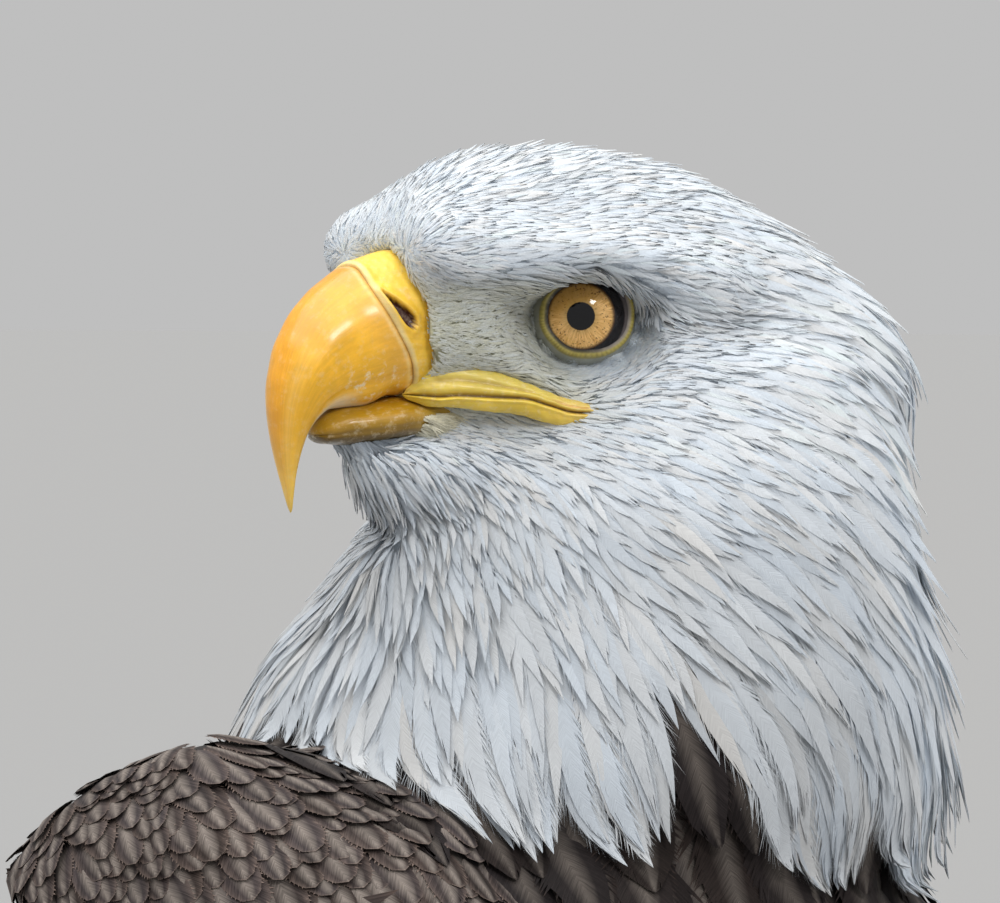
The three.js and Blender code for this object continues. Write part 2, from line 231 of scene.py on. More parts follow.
def grid_normals(p):
    """Outward normals of a grid of points that closes round its second axis."""
    along = np.gradient(p, axis=0)
    around = np.roll(p, -1, 1) - np.roll(p, 1, 1)
    n = unit(np.cross(around, along))
    return n * np.sign((n * (p - p.mean(1, keepdims=True))).sum())


def grid_piece(name, p, material, slot, tint=None, vane=None):
    """A piece from a grid of points that closes round its second axis. Its faces look out, and it takes
    the place of the node of the same name, if there is one."""
    rows, columns = p.shape[:2]
    start, column = np.meshgrid(np.arange(rows - 1) * columns, np.arange(columns), indexing="ij")
    here, beside = start + column, start + (column + 1) % columns
    faces = np.stack([here, beside, beside + columns, here + columns], -1).reshape(-1, 4)
    middle = faces[len(faces) // 2]
    a, b, c = p.reshape(-1, 3)[middle[:3]]
    if np.cross(b - a, c - a) @ grid_normals(p).reshape(-1, 3)[middle[0]] < 0:
        faces = faces[:, ::-1]
    v, u = np.meshgrid(np.linspace(0.02, 0.98, rows), np.linspace(0.02, 0.98, columns), indexing="ij")
    o = mesh_object(name, p, faces, tint, vane, np.stack([u, v], -1).reshape(-1, 2))
    nodes = [name] if name in NODES else []
    dressed(o, material, slot, *nodes)


# ---- Skin: one surface inside the flesh nodes ---------------------------------------------------

FLESH = ["head", "neck", "trunk", "tail", "wing_left", "wing_right", "thigh_left", "thigh_right"]
HEAD, NECK, TRUNK, TAIL, WING, THIGH = range(6)
KINDS = [HEAD, NECK, TRUNK, TAIL, WING, WING, THIGH, THIGH]
VOXEL = 3.4
THICKEST = 40.0


def triangles_of(me):
    """A mesh's vertices in millimetres and its triangles."""
    co = np.empty(len(me.vertices) * 3)
    me.vertices.foreach_get("co", co)
    me.calc_loop_triangles()
    tris = np.empty(len(me.loop_triangles) * 3, np.int32)
    me.loop_triangles.foreach_get("vertices", tris)
    return co.reshape(-1, 3) / MM, tris.reshape(-1, 3)


def flesh_mesh():
    """The flesh nodes' vertices and triangles together, and the body part of each triangle."""
    parts, faces, kinds, count = [], [], [], 0
    for name, kind in zip(FLESH, KINDS):
        co, tris = triangles_of(NODES[name].data)
        parts.append(co)
        faces.append(tris + count)
        kinds += [kind] * len(tris)
        count += len(co)
    return np.vstack(parts), np.vstack(faces), np.array(kinds)


def remeshed(co, tris):
    """One closed surface round overlapping ones, on voxels."""
    me = bpy.data.meshes.new("flesh")
    me.from_pydata((co * MM).tolist(), [], tris.tolist())
    o = bpy.data.objects.new("flesh", me)
    bpy.context.scene.collection.objects.link(o)
    m = o.modifiers.new("voxels", "REMESH")
    m.mode, m.voxel_size = "VOXEL", VOXEL * MM
    out = triangles_of(o.evaluated_get(bpy.context.evaluated_depsgraph_get()).to_mesh())
    bpy.data.objects.remove(o)
    return out


def edges_of(tris):
    pairs = np.sort(np.vstack([tris[:, [0, 1]], tris[:, [1, 2]], tris[:, [2, 0]]]), 1)
    return np.unique(pairs, axis=0)


def relaxed(values, edges, rounds, keep=0.0):
    """Each value moved rounds times towards its neighbours' mean. keep pushes back against shrinking."""
    n = len(values)
    a, b = edges.T
    degree = np.bincount(edges.ravel(), minlength=n)[:, None]
    flat = values.reshape(n, -1).copy()
    for k in range(rounds):
        total = np.empty_like(flat)
        for c in range(flat.shape[1]):
            total[:, c] = np.bincount(a, flat[b, c], n) + np.bincount(b, flat[a, c], n)
        pull = 0.5 if k % 2 == 0 or not keep else -keep
        flat += pull * (total / np.maximum(degree, 1) - flat)
    return flat.reshape(values.shape)


class Surface:
    """A triangle mesh that gives its nearest point, smooth normal and any value kept per vertex."""

    def __init__(self, co, tris):
        self.co, self.tris = co, tris
        self.tree = BVHTree.FromPolygons(co.tolist(), tris.tolist())
        a, b, c = (co[tris[:, k]] for k in range(3))
        face = np.cross(b - a, c - a)
        total = np.zeros_like(co)
        for k in range(3):
            for j in range(3):
                total[:, j] += np.bincount(tris[:, k], face[:, j], len(co))
        self.normals = unit(total)

    def weights(self, p, face):
        """How much each corner of a face counts at a point on it."""
        a, b, c = (self.co[self.tris[face, k]] for k in range(3))
        u, v, w = b - a, c - a, p - a
        uu, uv, vv = dot(u, u), dot(u, v), dot(v, v)
        wu, wv = dot(w, u), dot(w, v)
        det = np.maximum(uu * vv - uv * uv, 1e-9)
        s, t = (vv * wu - uv * wv) / det, (uu * wv - uv * wu) / det
        return np.clip(np.hstack([1 - s - t, s, t]), 0, 1)

    def value(self, kept, face, weights):
        picked = kept[self.tris[face]]
        if kept.ndim == 1:
            return (picked * weights).sum(1)
        return (picked * weights[:, :, None]).sum(1)

    def found(self, hits):
        p, face = np.array([h[0] for h in hits]), np.array([h[2] for h in hits])
        w = self.weights(p, face)
        return p, unit(self.value(self.normals, face, w)), face, w

    def nearest(self, points):
        return self.found([self.tree.find_nearest(p) for p in points.tolist()])

    def cast(self, points, direction, reach):
        """Where rays meet the surface, or the nearest point to where they start if they miss."""
        hits = []
        for p, d in zip(points.tolist(), direction.tolist()):
            hit = self.tree.ray_cast(p, d, reach)
            hits.append(self.tree.find_nearest(p) if hit[0] is None else hit)
        return self.found(hits)

    def thickness(self):
        out = np.full(len(self.co), THICKEST)
        starts = self.co - self.normals * 0.5
        for i, (p, n) in enumerate(zip(starts.tolist(), (-self.normals).tolist())):
            hit = self.tree.ray_cast(p, n, THICKEST)
            if hit[0] is not None:
                out[i] = hit[3]
        return out


# Ahead, left and up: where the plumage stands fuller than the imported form, by how much, over what radius.
FULLER = [
    (36, 0, -51, 6.0, 15), (33, 15, 18, 4.5, 9), (-84, 10, -6, 3.5, 24), (24, 15, 7, 3.0, 5.5),
    (12, 20, 8, 3.4, 5.5), (2, 23.5, 9.5, 2.4, 5.0), (-8, 25, 11, 1.6, 6.0),
]
COAT_ON_HEAD, COAT_ON_FACE, COAT_ON_SHIN = 2.7, 1.0, 2.0
COAT = {NECK: 5.0, TRUNK: 8.5, TAIL: 3.0, WING: 5.0, THIGH: 7.0}
COAT_SHARE = 0.28  # of the body part's own thickness, at most


def filled_out(co, normals):
    h = to_head(co)
    h = h * mirror(h, 1)
    by = sum(much * np.exp(-((h - at) ** 2).sum(1) / radius**2) for *at, much, radius in FULLER)
    return co + normals * by[:, None]


def coat_depth():
    """How deep the skin lies under the tips of the feathers, at each vertex."""
    f, _, u = to_head(outer_co).T
    head = mix(COAT_ON_HEAD, COAT_ON_FACE, ease(f, -70, 26) * ease(u, -40, -18))
    by_kind = np.choose(kind_of, [head, *COAT.values()])
    by_leg = mix(COAT_ON_SHIN, by_kind, ease(outer_co[:, 2], 90, 190))
    by_kind = np.where(kind_of == THIGH, by_leg, by_kind)
    return relaxed(np.minimum(by_kind, COAT_SHARE * outer.thickness()), skin_edges, 24)


def under_lids(co):
    """The skin pressed in round the eyes, to lie beneath the eyeballs and their lids."""
    h = to_head(co)
    x, y, out = round_the_eye(h)
    across = np.hypot(x, y)
    past, wide = past_lid(h)
    rim = across - past + 3.0 * wide
    most = np.sqrt(np.maximum(EYE_RADIUS**2 - np.minimum(across, rim) ** 2, 9.0)) - 1.8
    slope = 1.9 + 6.0 * ease(y / np.maximum(across, 1e-6), 0.1, 0.7)
    most = most + slope * np.maximum(across - rim, 0)
    sunk = np.where(past < 90, np.maximum(out - most, 0), 0)
    return on_head(h - mirror(h, 1) * EYE_LOOKS * sunk[:, None])


flesh_co, flesh_tris, flesh_kinds = flesh_mesh()
flesh_tree = BVHTree.FromPolygons(flesh_co.tolist(), flesh_tris.tolist())
outer_co, skin_tris = remeshed(flesh_co, flesh_tris)
skin_edges = edges_of(skin_tris)
outer_co = relaxed(outer_co, skin_edges, 8, keep=0.52)
kind_of = flesh_kinds[[flesh_tree.find_nearest(p)[2] for p in outer_co.tolist()]]
outer_co = filled_out(outer_co, Surface(outer_co, skin_tris).normals)
outer = Surface(outer_co, skin_tris)
DEPTH = coat_depth()
skin_co = relaxed(outer_co - outer.normals * DEPTH[:, None], skin_edges, 2, keep=0.52)
skin_co = under_lids(skin_co)
skin = Surface(skin_co, skin_tris)

CORNERS = skin_co[skin_tris]
FACE_MIDDLE = CORNERS.mean(1)
FACE_CROSS = np.cross(CORNERS[:, 1] - CORNERS[:, 0], CORNERS[:, 2] - CORNERS[:, 0])
FACE_AREA = np.linalg.norm(FACE_CROSS, axis=1) / 2
FACE_KIND = kind_of[skin_tris[:, 0]]

# ---- The lie of the coat ------------------------------------------------------------------------

# Ahead, left and up of the point between the eyes, then the direction there, in the head's frame.
HEAD_LIE = [
    (30, 0, 22, -1, 0, 0.25), (5, 0, 36, -1, 0, 0), (5, 22, 28, -1, 0.05, -0.05),
    (-40, 0, 34, -1, 0, -0.3), (-40, 25, 24, -1, 0, -0.3), (-70, 0, 10, -0.75, 0, -0.7),
    (-85, 0, -30, -0.35, 0, -0.95), (-85, 0, -90, 0, 0, -1), (26, 13, 2, -1, 0.35, 0.12),
    (20, 14, -12, -1, 0.3, -0.05), (10, 24, 14, -1, 0.15, 0.05), (-12, 27, 14, -1, 0.1, -0.12),
    (-4, 28, -13, -1, 0.15, -0.25), (-30, 34, -4, -1, 0.05, -0.3), (-12, 30, -28, -0.85, 0.1, -0.55),
    (-18, 40, -39, -0.82, 0, -0.57), (-27, 45, -60, -0.64, 0.1, -0.77),
    (-40, 45, -82, -0.5, 0.1, -0.87), (-60, 40, -103, -0.17, 0, -0.98), (38, 0, -30, -0.75, 0, -0.66),
    (25, 14, -30, -0.8, 0.1, -0.6), (30, 18, -42, -0.25, 0.05, -1), (10, 25, -48, -0.45, 0.1, -0.9),
    (50, 0, -60, 0.25, 0, -1), (20, 40, -85, 0, 0.1, -1), (45, 0, -100, 0.1, 0, -1),
]
WING_RUN = [-0.14, 0.77, -0.61]
# The left half of the body: X, Y and Z before the part was centred, then the direction there.
BODY_LIE = [
    (0, -130, 470, 0, 0.05, -1), (60, -120, 450, 0.1, 0.1, -1), (0, -90, 330, 0, 0.25, -1),
    (0, 0, 230, 0, 0.8, -0.6), (0, 10, 505, 0.1, 0.5, -0.8), (45, -20, 490, 0.3, 0.3, -0.9),
    (0, 90, 400, 0, 0.8, -0.6), (0, 150, 280, 0, 0.85, -0.55), (80, -40, 330, 0, 0.4, -0.9),
    (60, -50, 250, 0, 0.05, -1), (62, 60, 230, 0, 0.25, -1), (62, 20, 120, 0, 0, -1),
    (90, -110, 500, 0.1, 0.55, -0.8),
]
WING_SPOTS = [
    (112, -130, 450), (112, -60, 420), (95, 32, 340), (71, 122, 276), (50, 100, 330), (33, 280, 162),
]
BODY_LIE += [(*spot, *WING_RUN) for spot in WING_SPOTS]
BODY_LIE += [(0, 220, 180, 0, 0.83, -0.55), (0, 330, 100, 0, 0.83, -0.55)]


def blended(points, table, softness, power):
    """The directions in a table, each counting for more where its place is near."""
    table = np.array(table, float)
    away = ((points[:, None, :] - table[None, :, :3]) ** 2).sum(-1)
    w = 1 / (away + softness**2) ** power
    return (w[:, :, None] * table[None, :, 3:]).sum(1) / w.sum(1)[:, None]


def round_eyes(h, d):
    """Directions in the head's frame turned so that none runs in over an eye."""
    side = mirror(h, 1)
    away = h * side - EYE_IN_HEAD
    out = away - dot(away, EYE_LOOKS) * EYE_LOOKS
    out = out / np.maximum(np.linalg.norm(out, axis=1, keepdims=True), 1e-6) * side
    near = 1 - ease(np.linalg.norm(away, axis=1, keepdims=True), 15, 26)
    inward = np.minimum(dot(d, out) - 0.15, 0)
    return unit(d - out * inward * near)


def lie(points, normals):
    """The direction that a feather rooted there points in, along the surface."""
    h = to_head(points)
    side = mirror(h, 1)
    head = round_eyes(h, unit(blended(h * side, HEAD_LIE, 9, 1.6) * side)) @ HEAD_AXES
    b = points - SHIFT
    side = mirror(b, 0)
    body = unit(blended(b * side, BODY_LIE, 30, 2.0)) * side
    d = mix(body, head, ease(points[:, 2:3], 505, 545))
    return unit(d - dot(d, normals) * normals)


# ---- Feather shapes -----------------------------------------------------------------------------


def outline(root, opening, widest, power, fall, waist=0.0):
    """A feather's half-width along its shaft. It opens from the root, starts to close at widest, and may
    be drawn in by waist before the tip."""

    def width(s):
        closing = np.clip((s - widest) / (1 - widest), 0, 1) ** power
        return np.minimum(1, root + opening * s) * (1 - waist * ease(s, 0.5, 0.75)) * (1 - closing) ** fall

    return width


LANCE = outline(0.4, 1.8, 0.4, 1.35, 0.9)
LEAF = outline(0.4, 2.2, 0.52, 2.2, 0.5)
POINTED = outline(0.4, 2.0, 0.5, 1.9, 0.75)
QUILL = outline(0.45, 3.0, 0.84, 2.2, 0.5)
LONG_QUILL = outline(0.5, 3.0, 0.8, 1.8, 0.5, waist=0.25)


class Shape:
    """A feather's vertices: along the shaft from 0 to 1, across it from -1 to 1, raised in millimetres,
    the barb that each belongs to, its nearness to the vane's edge and whether it is shaft."""

    def __init__(self):
        self.rows, self.tris, self.barbs = [], [], 0

    def add(self, s, x, raised=0.0, barb=0, edge=0.0, shaft=0.0):
        self.rows.append((s, x, raised, barb, edge, shaft))
        return len(self.rows) - 1

    def vane(self, rows):
        """Closes the vane between rows of vertices that run across it, from the root to the tip."""
        for a, b in zip(rows, rows[1:]):
            for k in range(len(a) - 1):
                self.tris += [(a[k], a[k + 1], b[k + 1]), (a[k], b[k + 1], b[k])]

    def done(self):
        self.s, self.x, self.raised, barb, self.edge, self.shaft = np.array(self.rows).T
        self.barb = barb.astype(int)
        self.faces = np.array(self.tris)
        return self


def plume(width, stations, core, barbs, reach, columns=1, shaft=0.07, last=0.97):
    """A soft feather: a closed vane that takes up core of its width, and free barbs that lean out of it
    towards the tip, each a long thin point."""
    shape = Shape()
    out = np.linspace(shaft, 1, columns + 1)
    rows = []
    for s in np.linspace(0, last, stations):
        rows.append([])
        for x in np.concatenate([-out[::-1], out]):
            inner = abs(x) <= shaft
            reached = shaft * (1 - 0.7 * s) * np.sign(x) if inner else x * width(s) * core
            ahead = min(s + 0.5 * reach * (abs(x) - shaft) * (1 - s), 1.0)
            rows[-1].append(shape.add(ahead, reached, 0.14 * inner, 0, core * 0.7 * abs(x), float(inner)))
    shape.vane(rows)
    tip = shape.add(1.0, 0, 0, 0, 0.7, 0.5)
    shape.tris += [(a, b, tip) for a, b in zip(rows[-1], rows[-1][1:])]
    step = 0.92 / barbs
    for side in (-1, 1):
        for share in (np.arange(barbs) + 0.5) / barbs:
            shape.barbs += 1
            start = 0.02 + 0.92 * share
            end = min(start + reach * (1 - 0.4 * share**2), 0.95 + 0.055 * share)
            inside = width(start) * core * 0.62 * side
            low = shape.add(max(start - 0.75 * step, 0), inside, -0.06, shape.barbs, 0.3)
            high = shape.add(start + 0.75 * step, inside, -0.06, shape.barbs, 0.3)
            point = shape.add(end, width(end) * side, 0, shape.barbs, 1.0)
            shape.tris.append((high, low, point) if side > 0 else (low, high, point))
    return shape.done()


def tuft(hairs, spread):
    """The smallest feather of the face: a few hairs that fan out from one root."""
    shape = Shape()
    for k, lean in enumerate(np.linspace(-1, 1, hairs)):
        shape.barbs += 1
        end = 1.0 - 0.18 * lean**2 - 0.12 * (k % 2)
        edges = []
        for s, centre, half in ((0.0, lean * 0.15, 0.3), (0.5, lean * spread * 0.4, 0.26)):
            edges += [shape.add(s * end, centre + x * half, 0, shape.barbs, s * 0.6) for x in (-1, 1)]
        a, b, c, d = edges
        tip = shape.add(end, lean * spread, 0, shape.barbs, 1.0)
        shape.tris += [(a, b, d), (a, d, c), (c, d, tip)]
    return shape.done()


def vaned(stations, width, narrow, notches):
    """A firm flight or tail feather: a closed vane on a raised shaft. narrow is the leading vane's share
    of width. notches hold a side, a place and a width where the vane is split."""
    shape = Shape()
    out = np.linspace(0.05, 1, 3)
    rows = []
    for s in np.linspace(0, 1, stations) ** 0.9:
        wide = max(width(s), 0.01)
        rows.append([])
        for x in np.concatenate([-out[::-1], [0.0], out]):
            edge = abs(x)
            reach = x * wide * (narrow if x > 0 else 1.0)
            for side, place, split in notches:
                if x * side > 0.6:
                    reach *= 1 - 0.5 * max(0, 1 - abs(s - place) / split) * (edge - 0.6) / 0.4
            ahead = min(s + 0.1 * edge * wide * (1 - s), 1.0)
            raised = 0.55 * (1 - s) * (edge == 0) - 0.7 * edge**2
            rows[-1].append(shape.add(ahead, reach, raised, 1, edge, float(edge < 0.06)))
    shape.vane(rows)
    shape.barbs = 1
    return shape.done()


BRISTLE = tuft(3, 1.6)
SMALL = plume(LANCE, 3, 0.5, 9, 0.5, shaft=0.2)
MIDDLE = plume(LANCE, 4, 0.5, 17, 0.38, shaft=0.12)
LONG = plume(LANCE, 5, 0.5, 28, 0.3, shaft=0.09)
HACKLE = plume(LANCE, 8, 0.44, 46, 0.26, columns=2, shaft=0.06)
CONTOUR = plume(LEAF, 7, 0.86, 16, 0.12, columns=2, shaft=0.04, last=0.94)
MANTLE = plume(POINTED, 8, 0.74, 22, 0.17, columns=2, shaft=0.035)
PLUME = plume(POINTED, 5, 0.6, 12, 0.24, shaft=0.06)
FLIGHT = vaned(26, QUILL, 0.62, [(1, 0.7, 0.012), (-1, 0.82, 0.01), (-1, 0.9, 0.008)])
PRIMARY = vaned(30, LONG_QUILL, 0.5, [(1, 0.86, 0.01), (-1, 0.74, 0.01)])
RECTRIX = vaned(28, QUILL, 0.8, [(1, 0.93, 0.012), (-1, 0.88, 0.01), (-1, 0.96, 0.012)])
COVERT = vaned(14, QUILL, 0.75, [(1, 0.8, 0.02), (-1, 0.72, 0.02)])

# ---- Laying feathers ----------------------------------------------------------------------------

FOLLOW = 0.35  # how readily a shaft bends to the lie of the coat as it runs


def walked(roots, headings, lengths, steps):
    """Points, normals and coat depths along each shaft as it runs over the skin."""
    p, n, face, w = skin.nearest(roots)
    points, normals, depths = [p], [n], [skin.value(DEPTH, face, w)]
    d = unit(headings - dot(headings, n) * n)
    for _ in range(steps):
        p, n, face, w = skin.nearest(points[-1] + d * (lengths / steps)[:, None])
        d = unit(mix(unit(p - points[-1]), lie(p, n), FOLLOW))
        d = unit(d - dot(d, n) * n)
        points.append(p)
        normals.append(n)
        depths.append(skin.value(DEPTH, face, w))
    return np.stack(points, 1), np.stack(normals, 1), np.stack(depths, 1)


def laid(shape, points, normals, half_width, rng, fray=0.12, droop=0.12, round_off=0.35, roll=0.0):
    """Every feather's vertices: its shape carried along its shaft, with barbs out of true by fray."""
    n, steps = points.shape[0], points.shape[1] - 1
    off, wide, lift = (rng.normal(0, fray, (n, shape.barbs + 1))[:, shape.barb] for _ in range(3))
    loose = shape.edge * (shape.barb > 0)
    s = np.clip(shape.s + off * 0.3 * loose * (1 - shape.s), 0, 1)
    x = shape.x * (1 + wide * loose)
    at = s * steps
    i = np.minimum(at.astype(int), steps - 1)
    rows = np.arange(n)[:, None]

    def along(kept):
        return mix(kept[rows, i], kept[rows, i + 1], (at - i)[:, :, None])

    ahead = unit(along(unit(np.gradient(points, axis=1))))
    across = unit(np.cross(ahead, unit(along(normals))))
    up = np.cross(across, ahead)
    half = half_width[:, None]
    x_mm = x * half
    raised = shape.raised - droop * x**2 * np.abs(half) + lift * loose * 0.3 + roll * x_mm
    co = along(points) + across * x_mm[:, :, None] + up * raised[:, :, None]
    facing = unit(up + across * (np.sign(half) * x * round_off)[:, :, None])
    return co, s, x_mm, facing


def feathers(name, shape, points, normals, half_width, tint, lengths, unwrap, shaft_tint=None, **options):
    """One object of many feathers, each with its own tint. unwrap gives the place of each root on the
    skin's unwrap, from 0 to 1."""
    co, s, x, facing = laid(shape, points, normals, half_width, **options)
    n, m = s.shape
    colour = np.broadcast_to(tint[:, None, :], (n, m, 3))
    if shaft_tint is not None:
        colour = mix(colour, shaft_tint, shape.shaft[None, :, None])
    vane = np.stack([s * lengths[:, None], x, np.repeat(shape.edge[None, :], n, 0)], -1)
    patch = np.stack([shape.x * 0.5, shape.s - 0.5], -1) * 0.003
    uv = np.clip(unwrap, 0.01, 0.99)[:, None, :] + patch[None]
    faces = shape.faces[None] + (np.arange(n) * m)[:, None, None]
    faces = np.where((half_width < 0)[:, None, None], faces[:, :, ::-1], faces).reshape(-1, 3)
    return mesh_object(name, co, faces, colour, vane, uv.reshape(-1, 2), facing.reshape(-1, 3))


def unwrapped(points, centre, axis, facing):
    """Points on an unwrap of a body part: their turn about its axis and their way along it."""
    axis = unit(np.array(axis, float))
    facing = np.array(facing, float)
    facing = unit(facing - (facing @ axis) * axis)
    away = points - np.asarray(centre)
    turn = np.arctan2(away @ np.cross(axis, facing), away @ facing) / (2 * math.pi) + 0.5
    along = away @ axis
    along = (along - along.min()) / max(np.ptp(along), 1e-6)
    return np.stack([turn, along], -1) * 0.97 + 0.015


def tree_of(spots, chosen):
    tree = KDTree(len(chosen))
    for i in chosen:
        tree.insert(spots[i], int(i))
    tree.balance()
    return tree


def spaced(candidates, radii, order):
    """Indices of candidates that keep their distances, taken in order."""
    spots = candidates.tolist()
    tree = tree_of(spots, range(len(spots)))
    free = np.ones(len(spots), bool)
    chosen = []
    for i in order:
        if free[i]:
            chosen.append(i)
            for _, j, _ in tree.find_range(spots[i], float(radii[i])):
                free[j] = False
    return np.array(chosen)


CROWD = 3.5  # spots tried for each that may be kept


def scattered(inside, gap, rng):
    """Roots on the faces that inside marks, and the face of each. gap is how far apart they stand, as a
    length for each face of the skin."""
    inside = np.flatnonzero(inside)
    wanted = FACE_AREA[inside] / gap[inside] ** 2 * CROWD
    total = int(wanted.sum())
    face = rng.choice(inside, total, p=wanted / wanted.sum())
    u = np.sqrt(rng.random((total, 1)))
    v = rng.random((total, 1))
    a, b, c = (CORNERS[face, k] for k in range(3))
    p = a * (1 - u) + b * u * (1 - v) + c * u * v
    kept = spaced(p, gap[face], np.arange(total))
    return p[kept], face[kept]


def in_locks(roots, points, gap, strength, rng):
    """Shafts drawn towards the leading shaft of their lock, a gap from the next, more so near the tip."""
    leaders = spaced(roots, np.full(len(roots), gap), rng.permutation(len(roots)))
    tree = tree_of(roots, leaders)
    leader = np.array([tree.find(p)[1] for p in roots.tolist()])
    s = np.linspace(0, 1, points.shape[1])[None, :, None]
    return points + (points[leader] - points) * strength * s**2


def coat_of(
    name, roots, lengths, widths, shape, steps, tint, unwrap, material, slot, rng,
    turn, low=0.4, stand=None, lock=None, **options
):
    """Feathers of one shape over the skin, their tips at the coat's depth. turn is their disorder, low the
    share of the depth at their roots, stand how much higher each tip is, and lock a gap and a strength."""
    p, n, _, _ = skin.nearest(roots)
    heading = lie(p, n)
    sway = rng.normal(0, turn, len(p))[:, None]
    heading = heading * np.cos(sway) + np.cross(n, heading) * np.sin(sway)
    points, normals, depths = walked(p, heading, lengths, steps)
    s = np.linspace(0, 1, steps + 1)[None]
    rise = depths * (low + (1 - low) * s**0.8) * rng.normal(1.0, 0.08, (len(p), 1))
    if stand is not None:
        rise = rise + stand[:, None] * s**2
    points = points + normals * rise[:, :, None]
    if lock:
        points = in_locks(p, points, *lock, rng)
    o = feathers(name, shape, points, normals, widths, tint, lengths, unwrap, rng=rng, **options)
    dressed(o, material, slot)


# ---- Materials ----------------------------------------------------------------------------------


class Nodes:
    """Short ways to make and link a material's nodes."""

    def __init__(self, name):
        self.material = bpy.data.materials.new(name)
        self.material.use_nodes = True
        self.tree = self.material.node_tree
        self.shader = self.tree.nodes["Principled BSDF"]

    def link(self, value, socket):
        if isinstance(value, bpy.types.NodeSocket):
            self.tree.links.new(value, socket)
        else:
            socket.default_value = value

    def node(self, kind, inputs, out=0, **settings):
        """An output of a new node, whose inputs are given by name or by place."""
        n = self.tree.nodes.new("ShaderNode" + kind)
        for key, value in settings.items():
            setattr(n, key, value)
        for key, value in inputs.items():
            self.link(value, n.inputs[key])
        return n.outputs[out]

    def times(self, a, b, clamp=False):
        return self.node("Math", {0: a, 1: b}, operation="MULTIPLY", use_clamp=clamp)

    def plus(self, a, b):
        return self.node("Math", {0: a, 1: b}, operation="ADD")

    def range(self, value, low, high, to_low=0.0, to_high=1.0):
        ends = {"From Min": low, "From Max": high, "To Min": to_low, "To Max": to_high}
        return self.node("MapRange", {"Value": value, **ends}, interpolation_type="SMOOTHSTEP")

    def blend(self, factor, a, b, kind="MIX"):
        return self.node("Mix", {0: factor, 6: a, 7: b}, 2, data_type="RGBA", blend_type=kind)

    def noise(self, vector, scale, detail=3.0, rough=0.55):
        inputs = {"Vector": vector, "Scale": scale, "Detail": detail, "Roughness": rough}
        return self.node("TexNoise", inputs)

    def vector(self, x, y, z):
        return self.node("CombineXYZ", {0: x, 1: y, 2: z})

    def parts(self, vector):
        return self.node("SeparateXYZ", {0: vector}).node.outputs

    def place(self):
        return self.node("TexCoord", {}, "Object")

    def vane(self):
        return self.parts(self.node("Attribute", {}, "Vector", attribute_name="vane"))

    def tint(self, shade):
        """The mesh's own tint, lighter or darker by shade."""
        kept = self.node("Attribute", {}, "Color", attribute_name="tint")
        return self.node("VectorMath", {0: kept, "Scale": shade}, operation="SCALE")

    def bump(self, height, strength, distance):
        return self.node("Bump", {"Height": height, "Strength": strength, "Distance": distance})

    def set(self, **values):
        for key, value in values.items():
            self.link(value, self.shader.inputs[key.replace("_", " ")])
        return self.material


def rgb(*c):
    return (*c, 1.0)


def feather_material(
    name, streak, roughness, sheen, shine, through=0.0, mottle=0.0, fringe=None, fringe_from=1.0
):
    """Fine barb lines that lean from the shaft to the tip, and a paler fringe along the vane's edge.
    through is the share of light that comes through the vane."""
    k = Nodes(name)
    along, across, edge = k.vane()
    lateral = k.node("Math", {0: across}, operation="ABSOLUTE")
    lines = k.plus(along, k.times(lateral, -1.35))
    root_x, root_y, _ = k.parts(k.node("UVMap", {}, uv_map="OFBake"))
    seed = k.times(k.plus(root_x, root_y), 700.0)
    fine = k.noise(k.vector(k.times(lines, 2.6), k.times(lateral, 0.16), seed), 1.0, 2.0, 0.6)
    shade = k.range(fine, 0.3, 0.72, 1.0 - streak, 1.0 + streak * 0.5)
    if mottle:
        shade = k.times(shade, k.range(k.noise(k.place(), 60.0), 0.3, 0.7, 1.0 - mottle, 1.0 + mottle))
    colour = k.tint(shade)
    if fringe:
        wobble = k.plus(edge, k.times(k.plus(fine, -0.5), 0.3))
        colour = k.blend(k.range(wobble, fringe_from, 1.05, 0.0, 0.8), colour, rgb(*fringe))
    k.set(Base_Color=colour, Roughness=roughness, Normal=k.bump(fine, 0.35, 0.0004))
    k.set(Sheen_Weight=sheen, Sheen_Roughness=0.45, Specular_IOR_Level=shine)
    if through:
        thin = k.node("BsdfTranslucent", {"Color": colour})
        both = k.node("MixShader", {0: through, 1: k.shader.outputs[0], 2: thin})
        k.link(both, k.tree.nodes["Material Output"].inputs["Surface"])
    return k.material


def brown_material(name, fringe, fringe_from, shine):
    look = dict(mottle=0.15, fringe=fringe, fringe_from=fringe_from)
    return feather_material(name, 0.4, 0.6, 0.03, shine, **look)


def skin_material():
    k = Nodes("skin")
    fine = k.noise(k.place(), 900.0, 4.0)
    colour = k.tint(k.range(fine, 0.3, 0.7, 0.75, 1.15))
    return k.set(Base_Color=colour, Roughness=0.8, Normal=k.bump(fine, 0.5, 0.0006))


def horn_material(name, roughness, streak_scale, coat):
    """Horn whose growth lines run along it, with pale flecks where it is worn."""
    k = Nodes(name)
    along, across, worn = k.vane()
    lines = k.noise(k.vector(k.times(along, 0.1), across, 0.0), streak_scale, 4.0)
    cloud = k.noise(k.place(), 120.0, 4.0, 0.6)
    flecks = k.noise(k.place(), 520.0, 5.0, 0.7)
    colour = k.tint(k.times(k.range(lines, 0.3, 0.7, 0.93, 1.05), k.range(cloud, 0.35, 0.68, 0.88, 1.07)))
    pale = k.times(k.range(flecks, 0.5, 0.7), worn, clamp=True)
    relief = k.bump(k.plus(lines, k.times(flecks, 0.6)), 0.22, 0.0003)
    k.set(Base_Color=k.blend(pale, colour, rgb(0.86, 0.74, 0.5)), Normal=relief)
    k.set(Roughness=k.range(cloud, 0.3, 0.7, roughness, roughness + 0.14))
    k.set(Coat_Weight=coat, Coat_Roughness=0.18)
    return k.set(Subsurface_Weight=0.12, Subsurface_Radius=(0.004, 0.002, 0.0006), Subsurface_Scale=1.0)


